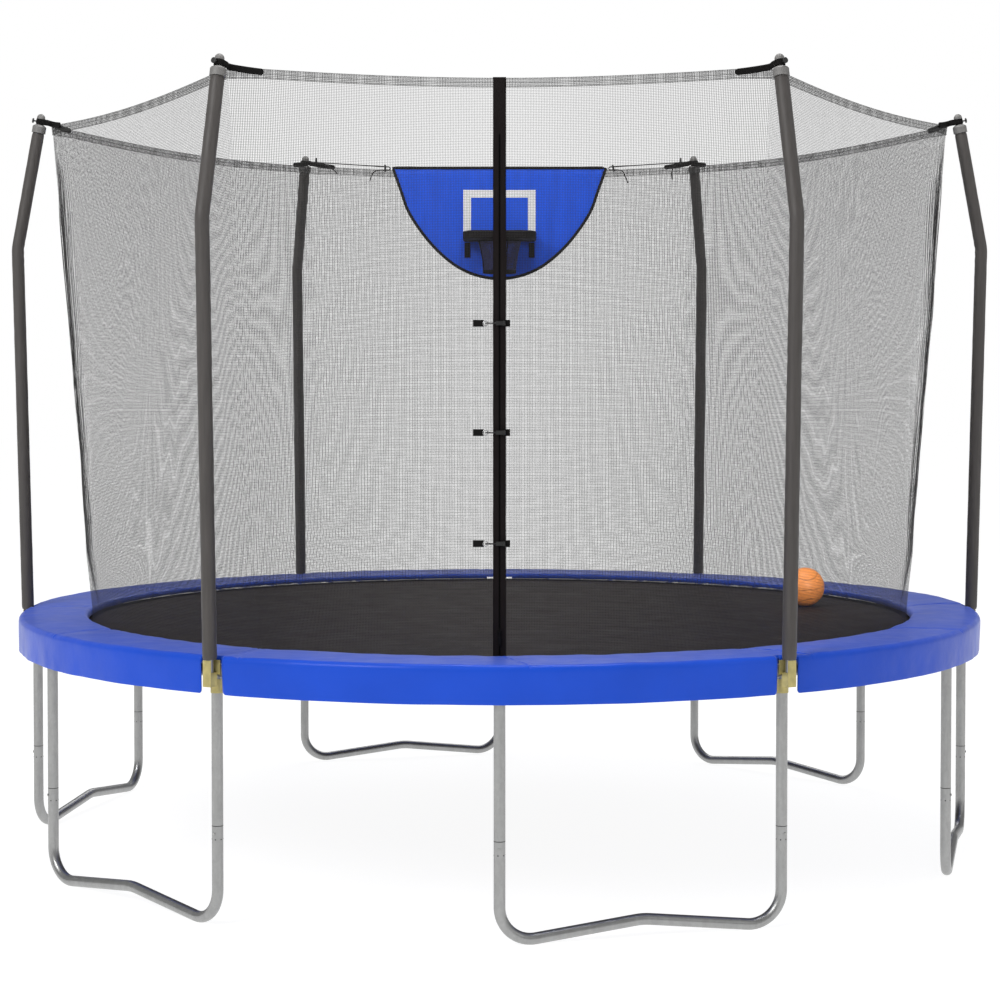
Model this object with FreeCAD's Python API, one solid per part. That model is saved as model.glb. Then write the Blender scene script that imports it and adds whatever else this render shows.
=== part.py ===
import FreeCAD, Part
import os
from math import atan2, cos, degrees, pi, radians, sin, sqrt, tan

# Backyard trampoline with a six-pole safety net and a hanging basketball hoop.
# Millimetres. +Z is up, the origin is on the ground under the centre of the mat, the net's
# door faces -Y. Places round the frame are given by a clock angle: 0 at the door (-Y),
# growing towards +X.

# ---- driving dimensions -------------------------------------------------------------------
FRAME_RADIUS = 1810.0        # ring through the leg and rail tube axes
RAIL_HEIGHT = 829.0          # axis of the top rail
MAT_TOP = 841.0
LEG_RADIUS = 18.5            # outside radius of the leg tubes
RAIL_TUBE = 20.0             # outside radius of the rail tube
WALL = 1.5                   # tube wall
SWAGE_GAP = 0.2              # clearance of a swaged end in the next tube
SIDES = 6                    # poles, W-shaped leg bases, rail segments and net sides
LEG_STEP = 30.0              # clock angle between legs
POLE_ANGLES = [30.0 + 60.0 * i for i in range(SIDES)]
BASE_ANGLES = [15.0 + 60.0 * i for i in range(SIDES)]

# leg bases
BASE_TOP = 286.0             # where the upright plugs into the base
UPRIGHT_TOP = 750.0          # where the upright plugs into the rail socket
CORNER_RADIUS = 105.0
BASE_RISE_DEG = 6.4          # slope of the two lower runs up to the middle kink
KINK_RADIUS = 220.0
PLUG_LENGTH = 45.0

# net poles: radius and height of the foot, the bend and the end of the sleeve
POLE_TUBE = 13.0
POLE_FOOT = (1846.0, 783.9)
POLE_BEND = (1880.0, 2275.0)
POLE_END = (1797.0, 2726.0)
POLE_BEND_RADIUS = 140.0
POLE_JOINT_HEIGHT = 1690.0
SLEEVE_RADIUS = 24.0
SLEEVE_FOOT_HEIGHT = 868.0
CAP_TALL = 75.0

# safety net
NET_TOP = 2743.0
NET_CORNER = 1742.0          # radius of the net's top corners
NET_FOOT = 857.0
NET_FOOT_RADIUS = 1568.0
NET_THICK = 2.0
NET_BAND_TALL = 32.0
RIBS_PER_SIDE = 6
STRAP_TALL = 19.0
STRAP_THICK = 5.0

# door
ZIP_TAPE_WIDE = 42.0
ZIP_TOP = 2550.0
CLOSURE_HEIGHTS = [1235.0, 1590.0, 1940.0]

# jumping mat, springs and pad
MAT_RADIUS = 1622.0
MAT_THICK = 3.0
SPRINGS = 72
SPRING_HEIGHT = 836.0
SPRING_RADIUS = 11.0
PAD_INNER = 1578.0
PAD_OUTER = 1843.0
PAD_UNDER = 851.5
PAD_TOP = 885.0
SKIRT_FOOT = 754.0
SKIRT_THICK = 5.0
POLE_SLOT = 82.0
POLE_SLOT_FROM = 1819.0      # radius where the slots for the poles begin

# hoop
BOARD_FACE = 1482.0          # front face of the backboard, on +Y
BOARD_TOP = 2739.0
BOARD_THICK = 12.0
BOARD_OUTLINE = [(487, 0), (449, 108), (409, 212), (317, 341), (212, 437), (110, 488), (0, 505)]
PIPING = 5.0
RIM_WIDE = 333.0
RIM_DEEP = 240.0
RIM_THICK = 40.0
RIM_UNDER = 2400.0
RIM_CORNER = 70.0
HOOP_RADIUS = 101.0
HOOP_BACK = 118.0            # hoop centre to the board
HOOP_NET_TALL = 150.0
HOOP_NET_FOOT = 76.0
BALL_RADIUS = 78.5
BALL_PLACE = (1250.0, 375.0)
CORD_RADIUS = 2.5

V = FreeCAD.Vector
UP = V(0, 0, 1)
OUT = "parts"


# ---- helpers ------------------------------------------------------------------------------
def clock(radius, angle, height):
    """The point at this radius, clock angle and height."""
    a = radians(angle)
    return V(radius * sin(a), -radius * cos(a), height)


def turned(shape, angle):
    """A copy of a shape that was built on the +X side, turned to this clock angle."""
    copy = shape.copy()
    copy.rotate(V(0, 0, 0), UP, angle - 90.0)
    return copy


def rod(start, end, radius):
    """A solid round bar between two points."""
    run = end - start
    return Part.makeCylinder(radius, run.Length, start, run)


def block(low, high):
    """An upright box between two corners."""
    size = V(*high) - V(*low)
    return Part.makeBox(size.x, size.y, size.z, V(*low))


def rounded_path(points, radii):
    """A wire of straight runs through the points, joined by tangent arcs of these radii."""
    edges = []
    start = points[0]
    for before, corner, after, radius in zip(points, points[1:], points[2:], radii):
        back = (before - corner).normalize()
        ahead = (after - corner).normalize()
        turn = pi - back.getAngle(ahead)
        trim = radius * tan(turn / 2)
        middle = (back + ahead).normalize() * (radius / cos(turn / 2) - radius)
        edges.append(Part.LineSegment(start, corner + back * trim).toShape())
        arc = Part.Arc(corner + back * trim, corner + middle, corner + ahead * trim)
        edges.append(arc.toShape())
        start = corner + ahead * trim
    edges.append(Part.LineSegment(start, points[-1]).toShape())
    return Part.Wire(edges)


def swept(path, radius):
    """A solid of round section along a smooth wire."""
    first = path.OrderedEdges[0]
    start = first.valueAt(first.FirstParameter)
    ahead = first.tangentAt(first.FirstParameter)
    ring = Part.Wire([Part.Circle(start, ahead, radius).toShape()])
    return path.makePipeShell([ring], True, False)


def hollow(path, outer, inner):
    """A tube along a smooth wire."""
    return swept(path, outer).cut(swept(path, inner))


def turned_profile(points):
    """A solid of revolution about Z from a closed outline of (radius, height) points."""
    corners = [V(r, 0, z) for r, z in points]
    outline = Part.makePolygon(corners + [corners[0]])
    return Part.Face(outline).revolve(V(0, 0, 0), UP, 360)


def ring_of(shape, angles):
    """One compound of copies of a +X side shape at these clock angles."""
    return Part.makeCompound([turned(shape, a) for a in angles])


def save(name, shape):
    """Writes one sub-part after checking that all of it is valid closed solids."""
    solids = shape.Solids
    if not solids or not shape.isValid():
        raise ValueError(f"{name} is not made of valid solids")
    kept = solids[0] if len(solids) == 1 else Part.makeCompound(solids)
    kept.exportStep(f"{OUT}/{name}.step")
    print(f"{name}: {len(solids)} solids, {kept.Volume / 1000:.1f} cm3")


# ---- frame --------------------------------------------------------------------------------
def rail_arc(radius, start, span):
    """A solid round bar along the rail's circle, from this clock angle on."""
    ring = Part.makeTorus(FRAME_RADIUS, radius, V(0, 0, RAIL_HEIGHT), UP, 0, 360, span)
    return turned(ring, start)


def rail_segment(first_leg):
    """A sixth of the top rail with two welded leg sockets; one end is swaged into the next."""
    bore = RAIL_TUBE - WALL
    plug = bore - SWAGE_GAP
    start = first_leg - LEG_STEP / 2
    span = 2 * LEG_STEP
    plug_span = degrees(PLUG_LENGTH / FRAME_RADIUS)
    step = 0.1
    outside = rail_arc(RAIL_TUBE, start, span).fuse(rail_arc(plug, start + span, plug_span))
    inside = rail_arc(bore, start, span - step)
    inside = inside.fuse(rail_arc(plug - WALL, start + span - step, plug_span + step))
    for angle in (first_leg, first_leg + LEG_STEP):
        foot = clock(FRAME_RADIUS, angle, UPRIGHT_TOP)
        tall = RAIL_HEIGHT - UPRIGHT_TOP
        outside = outside.fuse(Part.makeCylinder(LEG_RADIUS, tall, foot, UP))
        inside = inside.fuse(Part.makeCylinder(LEG_RADIUS - WALL, tall, foot, UP))
    return outside.cut(inside)


def base_point(mid_angle, along, height):
    """A point in the upright plane of a leg base: along runs from its first leg to its second."""
    inward = FRAME_RADIUS * cos(radians(LEG_STEP / 2))
    middle = clock(inward, mid_angle, height)
    a = radians(mid_angle)
    return middle + V(cos(a), sin(a), 0) * along


def leg_base(mid_angle):
    """A W-shaped base tube: two upright ends, two corner bends and a raised middle kink."""
    half = FRAME_RADIUS * sin(radians(LEG_STEP / 2))
    slope = radians(BASE_RISE_DEG)
    bend_height = LEG_RADIUS + CORNER_RADIUS
    line_at_bend = bend_height - CORNER_RADIUS / cos(slope)
    corner = line_at_bend - CORNER_RADIUS * tan(slope)
    kink = line_at_bend + (half - CORNER_RADIUS) * tan(slope)
    route = [(-half, BASE_TOP), (-half, corner), (0, kink), (half, corner), (half, BASE_TOP)]
    points = [base_point(mid_angle, along, height) for along, height in route]
    path = rounded_path(points, [CORNER_RADIUS, KINK_RADIUS, CORNER_RADIUS])
    return hollow(path, LEG_RADIUS, LEG_RADIUS - WALL)


def leg_upright():
    """A straight tube with a swaged plug at each end and a rolled groove above the joint."""
    plug = LEG_RADIUS - WALL - SWAGE_GAP
    foot = V(FRAME_RADIUS, 0, BASE_TOP)
    body = Part.makeCylinder(LEG_RADIUS, UPRIGHT_TOP - BASE_TOP, foot, UP)
    low = Part.makeCylinder(plug, PLUG_LENGTH, foot - UP * PLUG_LENGTH, UP)
    high = Part.makeCylinder(plug, PLUG_LENGTH * 0.8, V(FRAME_RADIUS, 0, UPRIGHT_TOP), UP)
    bore = Part.makeCylinder(plug - WALL, 700, foot - UP * 100, UP)
    groove_height = BASE_TOP + 44.0
    groove = Part.makeTorus(LEG_RADIUS + 0.6, 1.4, V(FRAME_RADIUS, 0, groove_height), UP)
    return body.fuse([low, high]).cut(bore).cut(groove)


def screw_head(height, outward=1.0):
    """A pan head screw on the outer side of a leg tube, with its shank left out."""
    seat = V(FRAME_RADIUS + outward * (LEG_RADIUS + 0.05), 0, height)
    head = Part.makeCylinder(4.5, 3.0, seat, V(outward, 0, 0))
    return head.makeFillet(1.5, [head.Edges[0]])


def leg_screws():
    """A screw at each base joint, and at each socket joint that carries no pole bracket."""
    every_leg = [LEG_STEP * i for i in range(12)]
    free_legs = [60.0 * i for i in range(SIDES)]
    low = ring_of(screw_head(BASE_TOP + 20.0), every_leg)
    high = ring_of(screw_head(UPRIGHT_TOP + 12.0), free_legs)
    return Part.makeCompound(low.Solids + high.Solids)


# ---- poles --------------------------------------------------------------------------------
BRACKET_HALF = 16.0          # half the width of the bracket's box
BRACKET_SHEET = 2.2
BRACKET_BACK = FRAME_RADIUS + RAIL_TUBE + 0.3
BRACKET_FRONT = 1863.4
BRACKET_FOOT = 781.0
BRACKET_TOP = 866.0
BRACKET_WINDOW = 827.0
PLATE_HALF = 29.0
EAR_FOOT = 758.0
EAR_TOP = 803.0
EAR_GAP = LEG_RADIUS + 0.4
BOLT_RADIUS = 3.0
BOLT_HEIGHTS = [769.0, 793.0]
BOLT_OUT = FRAME_RADIUS - LEG_RADIUS - 4.4


def pole_bracket():
    """A folded steel bracket: a box that holds the pole's foot, and a saddle round the leg."""
    sheet = BRACKET_SHEET
    half = BRACKET_HALF
    box = block((BRACKET_BACK, -half, BRACKET_FOOT), (BRACKET_FRONT, half, BRACKET_TOP))
    plate = block((BRACKET_BACK, -PLATE_HALF, BRACKET_WINDOW - 7),
                  (BRACKET_BACK + sheet, PLATE_HALF, BRACKET_TOP))
    inside = block((BRACKET_BACK + sheet, sheet - half, BRACKET_FOOT + sheet),
                   (BRACKET_FRONT - sheet, half - sheet, BRACKET_TOP + 1))
    window = block((BRACKET_BACK + sheet, -half - 1, BRACKET_WINDOW),
                   (BRACKET_FRONT - sheet, half + 1, BRACKET_TOP + 1))
    shell = box.fuse(plate).cut(inside).cut(window)
    tall = EAR_TOP - EAR_FOOT
    foot = V(FRAME_RADIUS, 0, EAR_FOOT)
    saddle = Part.makeCylinder(EAR_GAP + sheet, tall, foot)
    behind = block((FRAME_RADIUS - 100, -60, EAR_FOOT - 1), (FRAME_RADIUS, 60, EAR_TOP + 1))
    saddle = saddle.cut(behind).cut(Part.makeCylinder(EAR_GAP, tall + 2, foot - UP))
    ears = []
    for side in (1, -1):
        low, high = sorted((side * EAR_GAP, side * (EAR_GAP + sheet)))
        ears.append(block((BOLT_OUT - 9, low, EAR_FOOT), (FRAME_RADIUS, high, EAR_TOP)))
    shape = shell.fuse([saddle] + ears)
    for height in BOLT_HEIGHTS:
        shape = shape.cut(rod(V(BOLT_OUT, -40, height), V(BOLT_OUT, 40, height), BOLT_RADIUS + 0.3))
    return shape.removeSplitter()


def bracket_bolt(height):
    """A dome-headed bolt across the bracket's ears, just outside the leg."""
    head_seat = -(EAR_GAP + BRACKET_SHEET)
    shank = rod(V(BOLT_OUT, head_seat, height), V(BOLT_OUT, 33, height), BOLT_RADIUS)
    dome = Part.makeSphere(8.0, V(BOLT_OUT, head_seat + 3.6, height))
    cutter = block((BOLT_OUT - 10, head_seat, height - 10), (BOLT_OUT + 10, 20, height + 10))
    return shank.fuse(dome.cut(cutter))


def bracket_nut(height):
    """A hexagon nut on the other end of the bolt."""
    seat = EAR_GAP + BRACKET_SHEET
    corners = [V(BOLT_OUT + 5.8 * cos(k * pi / 3), seat, height + 5.8 * sin(k * pi / 3))
               for k in range(7)]
    body = Part.Face(Part.makePolygon(corners)).extrude(V(0, 5, 0))
    bore = rod(V(BOLT_OUT, seat - 1, height), V(BOLT_OUT, seat + 9, height), BOLT_RADIUS + 0.05)
    return body.cut(bore)


def pole_point(low, high, height):
    """The point at this height on the straight line between two (radius, height) places."""
    t = (height - low[1]) / (high[1] - low[1])
    return V(low[0] + t * (high[0] - low[0]), 0, height)


POLE_TOP_AXIS = (V(POLE_END[0], 0, POLE_END[1]) - V(POLE_BEND[0], 0, POLE_BEND[1])).normalize()


def pole_axis_point(along):
    """A point on the axis of the pole's upper end, measured from the end of the sleeve."""
    return V(POLE_END[0], 0, POLE_END[1]) + POLE_TOP_AXIS * along


def pole_path(start_height, overrun):
    """The bent axis of the pole from this height to past the end of the sleeve."""
    points = [pole_point(POLE_FOOT, POLE_BEND, start_height),
              V(POLE_BEND[0], 0, POLE_BEND[1]), pole_axis_point(overrun)]
    return rounded_path(points, [POLE_BEND_RADIUS])


def lower_pole_tube():
    """The straight lower pole tube, with a swaged plug at its top."""
    foot = pole_point(POLE_FOOT, POLE_BEND, POLE_FOOT[1])
    joint = pole_point(POLE_FOOT, POLE_BEND, POLE_JOINT_HEIGHT)
    plug_end = pole_point(POLE_FOOT, POLE_BEND, POLE_JOINT_HEIGHT + 60.0)
    outside = rod(foot, joint, POLE_TUBE).fuse(rod(joint, plug_end, POLE_TUBE - WALL - SWAGE_GAP))
    return outside.cut(rod(foot, plug_end, POLE_TUBE - 2 * WALL - SWAGE_GAP))


def upper_pole_tube():
    """The bent upper pole tube, from the joint into the cap."""
    return hollow(pole_path(POLE_JOINT_HEIGHT, 16.0), POLE_TUBE, POLE_TUBE - WALL)


def pole_sleeve():
    """The foam sleeve and its cover over the whole pole."""
    return hollow(pole_path(SLEEVE_FOOT_HEIGHT, 0.0), SLEEVE_RADIUS, POLE_TUBE + 0.2)


def on_pole_end(shape):
    """Moves a shape built up from the origin onto the pole's upper end."""
    tilt = degrees(atan2(POLE_TOP_AXIS.x, POLE_TOP_AXIS.z))
    shape.rotate(V(0, 0, 0), V(0, 1, 0), tilt)
    shape.translate(pole_axis_point(0))
    return shape


STRAP_FOOT = 35.0            # strap's lower edge above the end of the sleeve
STRAP_LOOP = 17.5            # outside radius of the loop round the cap's neck


def pole_cap():
    """A plastic cap: collar, shoulder, neck and round knob, with a blind hole for the tube."""
    collar = 26.5
    neck = 12.0
    knob = 16.0
    knob_foot = STRAP_FOOT + STRAP_TALL + 0.7
    body = turned_profile([(0, 0), (collar, 0), (collar, 24), (collar - 3, 28), (neck, 34),
                           (neck, knob_foot), (knob, knob_foot), (knob, CAP_TALL - knob),
                           (0, CAP_TALL - knob)])
    dome = Part.makeSphere(knob, V(0, 0, CAP_TALL - knob), UP, 0, 90, 360)
    hole = Part.makeCylinder(POLE_TUBE + 0.2, 17.0)
    return on_pole_end(body.fuse(dome).cut(hole))


def strap_section(point, heading):
    """An upright rectangular wire across a strap that runs along this heading."""
    side = V(-sin(heading), cos(heading), 0) * (STRAP_THICK / 2)
    half = UP * (STRAP_TALL / 2)
    corners = [point + side + half, point - side + half, point - side - half, point + side - half]
    return Part.makePolygon(corners + [corners[0]])


def plan_headings(points):
    """The plan heading at each point of a route, halved between the two runs that meet there."""
    runs = [V(b.x - a.x, b.y - a.y, 0).normalize() for a, b in zip(points, points[1:])]
    middle = [a + b for a, b in zip(runs, runs[1:])]
    return [atan2(run.y, run.x) for run in [runs[0]] + middle + [runs[-1]]]


def strap_arm(side):
    """One arm, from the loop down to the net's corner and then along the net's top band."""
    hold = pole_axis_point(STRAP_FOOT + STRAP_TALL / 2)
    along = V(-0.5, side * sqrt(3) / 2, 0)
    outward = V(sqrt(3) / 2, side * 0.5, 0)
    corner = V(NET_CORNER, 0, NET_TOP + 3) + outward * 8.5
    tip = corner + along * 108 - UP * 3
    points = [hold + V(0, side * 14.2, 0), V(1761, side * 9.5, 2757.5), corner + along * 4, tip]
    sections = [strap_section(p, h) for p, h in zip(points, plan_headings(points))]
    arm = Part.makeLoft(sections, True, True)
    end = Part.makeCylinder(STRAP_TALL / 2, STRAP_THICK, tip - outward * (STRAP_THICK / 2), outward)
    return arm.fuse(end)


def strap_yoke():
    """The strap that holds the net to a pole: a loop round the cap's neck and two arms."""
    loop = Part.makeCylinder(STRAP_LOOP, STRAP_TALL, V(0, 0, STRAP_FOOT))
    loop = loop.cut(Part.makeCylinder(12.2, STRAP_TALL + 2, V(0, 0, STRAP_FOOT - 1)))
    loop = loop.cut(rod(V(0, 0, STRAP_FOOT + 9.5), V(40, 0, STRAP_FOOT + 9.5), 3.2))
    neck = on_pole_end(Part.makeCylinder(12.2, STRAP_TALL + 20, V(0, 0, STRAP_FOOT - 8)))
    arms = [strap_arm(side).cut(neck) for side in (1, -1)]
    return on_pole_end(loop).fuse(arms).cut(pole_cap())


def cap_bolt():
    """A round-headed bolt that pins the strap's loop to the cap, pointing outwards."""
    height = STRAP_FOOT + 9.5
    shank = rod(V(12.3, 0, height), V(28, 0, height), 3.0)
    head = rod(V(27, 0, height), V(31.5, 0, height), 9.5)
    head = head.makeFillet(1.6, [e for e in head.Edges if e.Curve.TypeId == "Part::GeomCircle"
                                 and e.CenterOfMass.x > 30])
    return on_pole_end(head.fuse(shank))


# ---- net ----------------------------------------------------------------------------------
def net_line(angle):
    """Top and bottom points of the net at a clock angle: straight sides above, round below."""
    from_middle = ((angle + 30.0) % 60.0) - 30.0
    apothem = NET_CORNER * cos(radians(30.0))
    top = clock(apothem / cos(radians(from_middle)), angle, NET_TOP)
    return top, clock(NET_FOOT_RADIUS, angle, NET_FOOT)


def net_rib(angle, out_from, out_to, share_from=0.0, share_to=1.0):
    """A closed thin section of the net at a clock angle, offset outwards, between two shares
    of its height."""
    top, foot = net_line(angle)
    outward = clock(1, angle, 0)
    low = foot + (top - foot) * share_from
    high = foot + (top - foot) * share_to
    corners = [low + outward * out_from, high + outward * out_from,
               high + outward * out_to, low + outward * out_to]
    return Part.makePolygon(corners + [corners[0]])


def net_strip(start, end, ribs, out_from=0.0, out_to=NET_THICK, share_from=0.0, share_to=1.0):
    """A solid net strip between two clock angles."""
    angles = [start + (end - start) * i / ribs for i in range(ribs + 1)]
    sections = [net_rib(a, out_from, out_to, share_from, share_to) for a in angles]
    return Part.makeLoft(sections, True, True)


BAND_IN = NET_THICK + 0.3
BAND_OUT = NET_THICK + 1.6


def net_top_band():
    """The sewn band round the net's top edge, on its outer side."""
    share = 1.0 - NET_BAND_TALL / (NET_TOP - NET_FOOT)
    sides = []
    for start in POLE_ANGLES:
        sides.append(net_strip(start, start + 60.0, RIBS_PER_SIDE, BAND_IN, BAND_OUT, share))
    return Part.makeCompound(sides)


# ---- door ---------------------------------------------------------------------------------
DOOR_TOP, DOOR_FOOT = net_line(0.0)
DOOR_UP = (DOOR_TOP - DOOR_FOOT).normalize()
DOOR_OUT = V(0, -DOOR_UP.z, DOOR_UP.y)
DOOR_SKIN = NET_THICK * DOOR_UP.z      # the net's outer face, along the door's normal
TAPE_THICK = 1.5
BAND_SKIN = BAND_OUT + 0.2


def door_point(across, height, out):
    """A point on the sloping door: across to +X, at this height, out from the net's inner face."""
    along = (height - DOOR_FOOT.z) / DOOR_UP.z
    return DOOR_FOOT + DOOR_UP * along + V(across, 0, 0) + DOOR_OUT * out


def door_slab(left, right, low, high, inner, outer):
    """A flat piece on the door."""
    corners = [door_point(left, low, inner), door_point(right, low, inner),
               door_point(right, high, inner), door_point(left, high, inner)]
    return Part.Face(Part.makePolygon(corners + [corners[0]])).extrude(DOOR_OUT * (outer - inner))


def zip_tape():
    """The two fabric tapes beside the zip, joined above the zip's top stop."""
    half = ZIP_TAPE_WIDE / 2
    whole = door_slab(-half, half, NET_FOOT + 3, NET_TOP - 1, BAND_SKIN, BAND_SKIN + TAPE_THICK)
    slit = door_slab(-1.6, 1.6, NET_FOOT, ZIP_TOP, BAND_SKIN - 1, BAND_SKIN + TAPE_THICK + 1)
    return whole.cut(slit)


ZIP_FACE = BAND_SKIN + TAPE_THICK


def zip_teeth():
    """The closed zip chain, one long bead over the slit."""
    return door_slab(-3.2, 3.2, NET_FOOT + 12, ZIP_TOP, ZIP_FACE + 0.1, ZIP_FACE + 1.7)


SLIDER_HEIGHT = 952.0
SLIDER_PIN = ZIP_FACE + 5.6            # how far out the pull's pin is


def zip_slider():
    """The slider that runs on the zip chain, with a bail for its pull."""
    low = SLIDER_HEIGHT - 8
    high = SLIDER_HEIGHT + 8
    body = door_slab(-6, 6, low, high, ZIP_FACE + 1.9, SLIDER_PIN - 2.1)
    posts = [door_slab(a, b, low + 4, high - 4, SLIDER_PIN - 2.4, SLIDER_PIN + 1.6)
             for a, b in ((-5, -3.4), (3.4, 5))]
    pin = rod(door_point(-4, SLIDER_HEIGHT, SLIDER_PIN), door_point(4, SLIDER_HEIGHT, SLIDER_PIN), 1)
    return body.fuse(posts + [pin])


def zip_pull():
    """The flat pull that hangs on the slider's pin."""
    eye = door_point(0, SLIDER_HEIGHT, SLIDER_PIN)
    knuckle = rod(eye - V(3, 0, 0), eye + V(3, 0, 0), 1.9)
    tab = block((-3, eye.y - 0.9, eye.z - 42), (3, eye.y + 0.9, eye.z))
    grip = block((-5, eye.y - 1.6, eye.z - 42), (5, eye.y + 1.2, eye.z - 16))
    bore = rod(eye - V(9, 0, 0), eye + V(9, 0, 0), 1.08)
    return knuckle.fuse([tab, grip]).cut(bore)


PATCH_HALF = 10.8
PATCH_FACE = ZIP_FACE + 2.0
HOOK_PIVOT = (15.0, ZIP_FACE + 12.2)   # across and out, so that the slider passes under the hook
HOOK_NOSE = -44.0
RING_OUT = DOOR_SKIN + 5.0


def closure_patches():
    """Three pairs of webbing patches; each right one carries a bracket and pin for a hook."""
    pieces = []
    across, out = HOOK_PIVOT
    for height in CLOSURE_HEIGHTS:
        low = height - PATCH_HALF
        high = height + PATCH_HALF
        pieces.append(door_slab(-85, -51, low, high, DOOR_SKIN + 0.1, DOOR_SKIN + 3))
        right = door_slab(7.5, 34, low, high, ZIP_FACE + 0.1, PATCH_FACE)
        ears = [door_slab(across - 5, across + 5, height + a, height + b, PATCH_FACE - 0.2, out + 3)
                for a, b in ((-9.5, -7.5), (7.5, 9.5))]
        pin = rod(door_point(across, height - 8, out), door_point(across, height + 8, out), 1.5)
        pieces.append(right.fuse(ears + [pin]))
    return Part.makeCompound(pieces)


def closure_rings():
    """Three wire rings that the hooks catch, held at the left patches."""
    rings = [Part.makeTorus(8.0, 1.3, door_point(-45.0, h, RING_OUT), DOOR_OUT)
             for h in CLOSURE_HEIGHTS]
    return Part.makeCompound(rings)


def closure_hook(height):
    """A snap hook: a wide shank on the pin, a bar across the zip and a nose through the ring."""
    across, out = HOOK_PIVOT
    bar_radius = 2.2
    knuckle = rod(door_point(across, height - 7.2, out), door_point(across, height + 7.2, out), 4.2)
    shank = door_slab(-12, across, height - 6.5, height + 6.5, out - bar_radius, out + bar_radius)
    bar = rod(door_point(-11, height, out), door_point(HOOK_NOSE, height, out), bar_radius)
    tip = door_point(HOOK_NOSE, height, RING_OUT - 2)
    nose = rod(door_point(HOOK_NOSE, height, out), tip, bar_radius)
    bend = Part.makeSphere(bar_radius, door_point(HOOK_NOSE, height, out))
    bore = rod(door_point(across, height - 9, out), door_point(across, height + 9, out), 1.56)
    return knuckle.fuse([shank, bar, nose, bend]).cut(bore)


# ---- mat, springs and pad -----------------------------------------------------------------
def mat():
    """The woven jumping mat."""
    return Part.makeCylinder(MAT_RADIUS, MAT_THICK, V(0, 0, MAT_TOP - MAT_THICK))


def mat_hem():
    """The webbing folded round the mat's edge."""
    low = MAT_TOP - MAT_THICK
    return turned_profile([(1586, low - 2.5), (1630, low - 2.5), (1630, MAT_TOP + 2.5),
                           (1586, MAT_TOP + 2.5), (1586, MAT_TOP), (MAT_RADIUS, MAT_TOP),
                           (MAT_RADIUS, low), (1586, low)])


SPRING_ANGLES = [360.0 / SPRINGS * (i + 0.5) for i in range(SPRINGS)]
RING_BASE = 1633.5
RING_APEX = 1657.0


def v_ring():
    """A triangular wire ring at the mat's edge that one spring hooks into."""
    points = [V(RING_BASE, 0, SPRING_HEIGHT), V(RING_BASE, 19, SPRING_HEIGHT),
              V(RING_APEX, 0, SPRING_HEIGHT), V(RING_BASE, -19, SPRING_HEIGHT),
              V(RING_BASE, 0, SPRING_HEIGHT)]
    return swept(rounded_path(points, [4.0, 4.0, 4.0]), 2.0)


def spring():
    """The envelope of one coil spring, with its two hook ends."""
    low = V(RING_APEX + 7.0, 0, SPRING_HEIGHT)
    high = V(1776.0, 0, SPRING_HEIGHT)
    body = rod(low, high, SPRING_RADIUS)
    core = rod(low + V(3, 0, 0), high - V(3, 0, 0), SPRING_RADIUS - 2.9)
    hooks = [rod(low - V(4.2, 0, 0), low + V(1, 0, 0), 1.6),
             rod(high - V(1, 0, 0), V(1789.3, 0, SPRING_HEIGHT), 1.6)]
    return body.cut(core).fuse(hooks)


def slotted(ring):
    """A ring of the pad with its six slots for the poles."""
    slot = block((POLE_SLOT_FROM, -POLE_SLOT / 2, 700), (2000, POLE_SLOT / 2, 1000))
    return ring.cut([turned(slot, angle) for angle in POLE_ANGLES])


def safety_pad():
    """The padded ring over the springs."""
    edge = 14.0
    return slotted(turned_profile([
        (PAD_INNER, PAD_UNDER), (PAD_OUTER, PAD_UNDER), (PAD_OUTER, PAD_TOP - edge),
        (PAD_OUTER - 4, PAD_TOP - 4), (PAD_OUTER - edge, PAD_TOP),
        (PAD_INNER + 8, PAD_TOP), (PAD_INNER, PAD_TOP - 6)]))


def pad_skirt():
    """The skirt that hangs from the pad's outer edge and hides the rail."""
    inner = PAD_OUTER - SKIRT_THICK
    return slotted(turned_profile([(inner, SKIRT_FOOT), (PAD_OUTER, SKIRT_FOOT),
                                   (PAD_OUTER, PAD_UNDER), (inner, PAD_UNDER)]))


# ---- hoop ---------------------------------------------------------------------------------
def board_wire(out):
    """The backboard's outline at this distance along +Y: straight top, curved below."""
    right = [V(x, out, BOARD_TOP - drop) for x, drop in BOARD_OUTLINE]
    left = [V(-p.x, p.y, p.z) for p in reversed(right[:-1])]
    curve = Part.BSplineCurve()
    curve.interpolate(right + left)
    top = Part.LineSegment(left[-1], right[0])
    return curve.toShape(), top.toShape()


def backboard_piping():
    """The round piping sewn along the board's edge."""
    curve, top = board_wire(BOARD_FACE + BOARD_THICK / 2)
    corners = [Part.makeSphere(PIPING, v.Point) for v in top.Vertexes]
    top_bar = rod(top.Vertexes[0].Point, top.Vertexes[1].Point, PIPING)
    return swept(Part.Wire([curve]), PIPING).fuse([top_bar] + corners)


def backboard():
    """The flat padded backboard, inside its piping."""
    face = Part.Face(Part.Wire(board_wire(BOARD_FACE)))
    return face.extrude(V(0, BOARD_THICK, 0)).cut(backboard_piping())


RIM_BACK = BOARD_FACE - 1.0


def hoop_rim():
    """A foam rim: a slab with rounded front corners and a round hole."""
    half = RIM_WIDE / 2
    front = RIM_BACK - RIM_DEEP
    points = [V(0, RIM_BACK, RIM_UNDER), V(half, RIM_BACK, RIM_UNDER), V(half, front, RIM_UNDER),
              V(-half, front, RIM_UNDER), V(-half, RIM_BACK, RIM_UNDER), V(0, RIM_BACK, RIM_UNDER)]
    outline = rounded_path(points, [6.0, RIM_CORNER, RIM_CORNER, 6.0])
    slab = Part.Face(outline).extrude(V(0, 0, RIM_THICK))
    hole = Part.makeCylinder(HOOP_RADIUS, RIM_THICK + 2, V(0, RIM_BACK - HOOP_BACK, RIM_UNDER - 1))
    return slab.cut(hole)


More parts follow.
